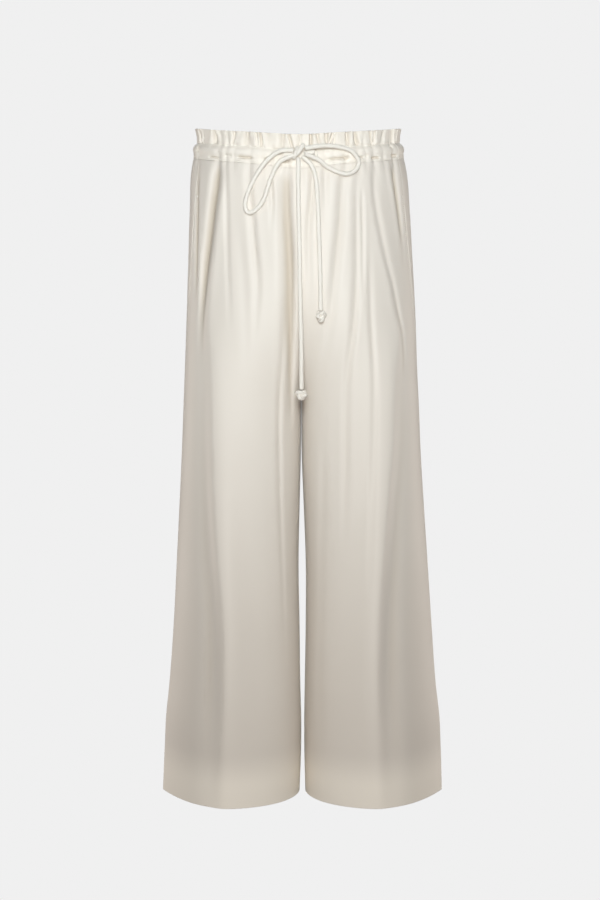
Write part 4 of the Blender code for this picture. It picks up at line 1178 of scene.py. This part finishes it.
ENTRY_LEFT_ROUTE = [(0.0230, -0.1154, -0.0150), (0.0165, -0.1157, -0.0155),
                    (0.0101, -0.1155, -0.0160)]
STEPS_BETWEEN = 12


def smooth_route(points, spacing):
    """A Catmull-Rom curve through the points, read again at about even steps."""
    points = np.array(points)
    ends = np.vstack([2 * points[0] - points[1], points, 2 * points[-1] - points[-2]])
    t = np.linspace(0, 1, STEPS_BETWEEN, endpoint=False)[:, None]
    runs = []
    for a, b, c, d in zip(ends, ends[1:], ends[2:], ends[3:]):
        runs.append(0.5 * (2 * b + (c - a) * t + (2 * a - 5 * b + 4 * c - d) * t**2
                           + (3 * b - a - 3 * c + d) * t**3))
    fine = np.vstack(runs + [points[-1:]])
    along = np.concatenate([[0], np.cumsum(np.linalg.norm(np.diff(fine, axis=0), axis=1))])
    stops = np.linspace(0, along[-1], max(3, round(along[-1] / spacing) + 1))
    return np.stack([np.interp(stops, along, fine[:, k]) for k in range(3)], axis=1)


print("points placed by hand on the loops:", len(LOOP_RIGHT_ROUTE) + len(LOOP_LEFT_ROUTE))

# %% A tube along a path
CORD_RADIUS = 0.0032
TUBE_SIDES = 20
TUBE_STEP = 0.0012
END_STEPS = 5
END_BULGE = 0.35
POLE_RADIUS = 0.02


def carried_frame(path):
    """Two unit normals at each station, carried along the path with no twist."""
    tangent = np.gradient(path, axis=0)
    tangent /= np.linalg.norm(tangent, axis=1)[:, None]
    normal = np.cross(tangent[0], (0.1, -1.0, 0.2))
    normals = []
    for direction in tangent:
        normal = normal - direction * (normal @ direction)
        normal = normal / np.linalg.norm(normal)
        normals.append(normal)
    normals = np.array(normals)
    return normals, np.cross(tangent, normals)


def tube(name, path, radius):
    """Circles carried along the path: p + r * (cos * normal + sin * binormal), with round ends."""
    first, last = path[0] - path[1], path[-1] - path[-2]
    first, last = first / np.linalg.norm(first), last / np.linalg.norm(last)
    bow = np.linspace(0, math.pi / 2, END_STEPS + 1)
    reach, pinch = np.sin(bow), np.maximum(np.cos(bow), POLE_RADIUS)
    head = path[0] + first * (END_BULGE * radius * reach[::-1, None])
    tail = path[-1] + last * (END_BULGE * radius * reach[:, None])
    normal, binormal = carried_frame(path)
    stations = np.vstack([head, path[1:-1], tail])
    size = radius * np.concatenate([pinch[::-1], np.ones(len(path) - 2), pinch])
    lead = np.zeros(len(head), int)
    trail = np.full(len(tail), len(path) - 1)
    pick = np.concatenate([lead, np.arange(1, len(path) - 1), trail])
    turn = np.linspace(0, 2 * math.pi, TUBE_SIDES, endpoint=False)
    around = (np.cos(turn)[:, None] * normal[pick][:, None]
              + np.sin(turn)[:, None] * binormal[pick][:, None])
    points = (stations[:, None] + size[:, None, None] * around).reshape(-1, 3)
    rows = len(stations)
    here = np.arange(rows * TUBE_SIDES).reshape(rows, TUBE_SIDES)
    beside = np.roll(here, -1, axis=1)
    quads = np.stack([here[:-1], beside[:-1], beside[1:], here[1:]], axis=-1).reshape(-1, 4)
    caps = np.array([[0, k + 2, k + 1, k] for k in range(1, TUBE_SIDES - 2, 2)])
    foot = (rows - 1) * TUBE_SIDES + caps[:, ::-1]
    along = np.concatenate([[0], np.cumsum(np.linalg.norm(np.diff(stations, axis=0), axis=1))])
    uv = np.stack(np.broadcast_arrays(turn[None, :] * CORD_RADIUS, along[:, None]), axis=-1)
    piece = put_mesh(name, points, np.concatenate([quads, caps, foot]), cord_cloth, uv.reshape(-1, 2))
    return piece


# %% Loops and tails
def cord_length(path):
    """The sum of the steps along a path."""
    return float(np.linalg.norm(np.diff(path, axis=0), axis=1).sum())


cords, paths = {}, {}
for name, route in (("loop_right", LOOP_RIGHT_ROUTE), ("loop_left", LOOP_LEFT_ROUTE),
                    ("tail_centre", TAIL_CENTRE_ROUTE), ("tail_left", TAIL_LEFT_ROUTE),
                    ("cord_entry_right", ENTRY_RIGHT_ROUTE), ("cord_entry_left", ENTRY_LEFT_ROUTE)):
    paths[name] = smooth_route(route, TUBE_STEP)
    cords[name] = tube(f"tied_{name}", paths[name], CORD_RADIUS)
    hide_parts(name)
    print(name, round(cord_length(paths[name]) * 1000), "mm")

# %% [markdown]
# ## Knots
# A bow is held by one turn of the cord round its middle, with the second loop's turn tucked in
# beside it. Each tail ends in an overhand knot, whose cord runs like three leaves of a clover and is
# pulled tight. The turns hidden inside a knot aren't built, because nobody sees them.

# %% The bow's knot
BOW_KNOT = np.array((0.0016, -0.1195, -0.0135))
WRAP_RADIUS, TURN_RADIUS = 0.0034, 0.0030
WRAP_POINTS = 40
WRAP_DRIFT = 0.004


def ring_path(centre, tilt, half_height, half_depth, reach):
    """An ellipse that stands across the bow, leaning over by tilt, from -reach to reach."""
    t = np.linspace(-reach, reach, WRAP_POINTS)[:, None]
    up = np.array((math.sin(tilt), 0.0, math.cos(tilt)))
    out = np.array((0.0, -1.0, 0.0))
    drift = np.linspace(-0.5, 0.5, WRAP_POINTS)[:, None] * np.array((WRAP_DRIFT, 0, 0))
    return centre + half_height * np.sin(t) * up + half_depth * np.cos(t) * out + drift


wrap = ring_path(BOW_KNOT + (0.0012, 0.0, 0.0010), 0.50, 0.0068, 0.0040, 2.2)
second_turn = ring_path(BOW_KNOT + (-0.0046, 0.0008, -0.0030), 0.16, 0.0066, 0.0034, 2.0)
bow_front = tube("tied_bow_knot", wrap, WRAP_RADIUS)
bow_side = tube("tied_bow_knot_turn", second_turn, TURN_RADIUS)
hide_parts("bow_knot")
print("the bow's knot:", round(1000 * (cord_length(wrap) + cord_length(second_turn))), "mm of cord")

# %% The end knots
END_KNOT_ROUTE = 0.0018
END_KNOT_DEPTH = 0.0030
END_KNOT_BELOW = 0.0085
END_KNOT_RADIUS = 0.0029
LEAF_OPEN = (0.22, 0.36)
CLOVER_POINTS = 90


def overhand(last, way, mirror, width, height):
    """A clover: x = sin t + 2 sin 2t, y = cos t - 2 cos 2t, z = -sin 3t, cut open at one leaf."""
    t = np.linspace(LEAF_OPEN[0], 2 * math.pi - LEAF_OPEN[1], CLOVER_POINTS) + math.pi / 3
    across = mirror * (np.sin(t) + 2 * np.sin(2 * t))
    up = np.cos(t) - 2 * np.cos(2 * t)
    clover = np.stack([across * END_KNOT_ROUTE * width, -np.sin(3 * t) * END_KNOT_DEPTH,
                       up * END_KNOT_ROUTE * height], axis=1)
    return last + way * END_KNOT_BELOW + clover


for name, tail, mirror, width, height in (("end_knot_centre", "tail_centre", 1, 1.35, 1.00),
                                          ("end_knot_left", "tail_left", -1, 1.05, 1.25)):
    last = paths[tail][-1]
    way = (last - paths[tail][-3]) / np.linalg.norm(last - paths[tail][-3])
    tube(f"tied_{name}", overhand(last, way, mirror, width, height), END_KNOT_RADIUS)
    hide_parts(name)

# %% [markdown]
# ## A cut's sizes
# A Cut names three sizes of the cloth: a panel's width, a panel's area and the casing's length.

Cut = namedtuple("Cut", "panel_width panel_area casing_length")

# %% [markdown]
# ## Studio
# A pale floor sweeps up into a wall all the way round. It glows evenly, and its light and shadow are
# kept off the cloth. A cool key lights the top, a warm one the legs, two more catch the sides and
# one the back. A sky texture would tint the ivory, so the world is one plain, dim warm white.

# %% Floor and wall
FLOOR = -1.30
SWEEP = 2.0
WALL_AT = 9.0
WALL_TOP = 9.0
STAGE_GREY = 0.871


def stage():
    """A floor, a quarter circle and a wall as one profile, turned all the way round the object."""
    bend = np.linspace(0, math.pi / 2, 16)
    out = np.concatenate([[0.0], WALL_AT - SWEEP + SWEEP * np.sin(bend), [WALL_AT]])[:, None]
    z = np.concatenate([[FLOOR], FLOOR + SWEEP - SWEEP * np.cos(bend), [WALL_TOP]])[:, None]
    turn = np.linspace(0, 2 * math.pi, 73)[None, :]
    grid = np.stack(np.broadcast_arrays(out * np.cos(turn), out * np.sin(turn), z), axis=-1)
    mesh = bpy.data.meshes.new("studio_floor")
    mesh.from_pydata(grid.reshape(-1, 3).tolist(), [], grid_quads(*grid.shape[:2]).tolist())
    mesh.shade_smooth()
    finish = Finish("studio_paper")
    finish.set(Base_Color=(0.0, 0.0, 0.0, 1), Roughness=1.0, Emission_Color=(STAGE_GREY,) * 3 + (1,),
               Emission_Strength=1.0, Specular_IOR_Level=0.0)
    mesh.materials.append(finish.material)
    floor = bpy.data.objects.new("studio_floor", mesh)
    scene.collection.objects.link(floor)
    floor.visible_diffuse = False
    floor.visible_glossy = False
    floor.visible_shadow = False


stage()
print("floor at", FLOOR, "m, wall", WALL_AT, "m away")


# %% Lights
COOL, WARM = (0.900, 1.0, 1.045), (0.990, 0.905, 0.822)
WORLD_WHITE, WORLD_STRENGTH = (1.0, 0.95, 0.90, 1), 0.24


def area_light(name, place, aim, size, watts, colour, beam=180):
    """A softbox the camera can't see; beam is the angle that its grid lets out, in degrees."""
    lamp = bpy.data.lights.new(name, "AREA")
    lamp.shape = "RECTANGLE"
    lamp.size, lamp.size_y = size
    lamp.energy = watts
    lamp.color = colour
    lamp.spread = math.radians(beam)
    light = bpy.data.objects.new(name, lamp)
    scene.collection.objects.link(light)
    light.location = place
    light.rotation_euler = (Vector(aim) - Vector(place)).to_track_quat("-Z", "Y").to_euler()
    light.visible_camera = False


area_light("key", (0.0, -2.20, 0.20), (0, 0, -0.08), (0.25, 0.5), 3.4, COOL, 60)
area_light("front", (0.0, -2.60, -0.46), (0, 0, -0.72), (0.3, 1.0), 7.7, WARM, 120)
area_light("rim_right", (-1.55, 1.15, -0.60), (0, 0, -0.60), (0.4, 1.7), 12.0, WARM)
area_light("rim_left", (1.55, 1.15, -0.60), (0, 0, -0.60), (0.4, 1.7), 12.0, WARM)
area_light("behind", (0.0, 2.4, 0.40), (0, 0, -0.40), (1.6, 1.6), 24.0, COOL)
world = bpy.data.worlds.new("studio")
world.use_nodes = True
background = world.node_tree.nodes["Background"]
background.inputs["Color"].default_value = WORLD_WHITE
background.inputs["Strength"].default_value = WORLD_STRENGTH
scene.world = world
scene.view_settings.view_transform = "Standard"
print("lights:", len(bpy.data.lights))
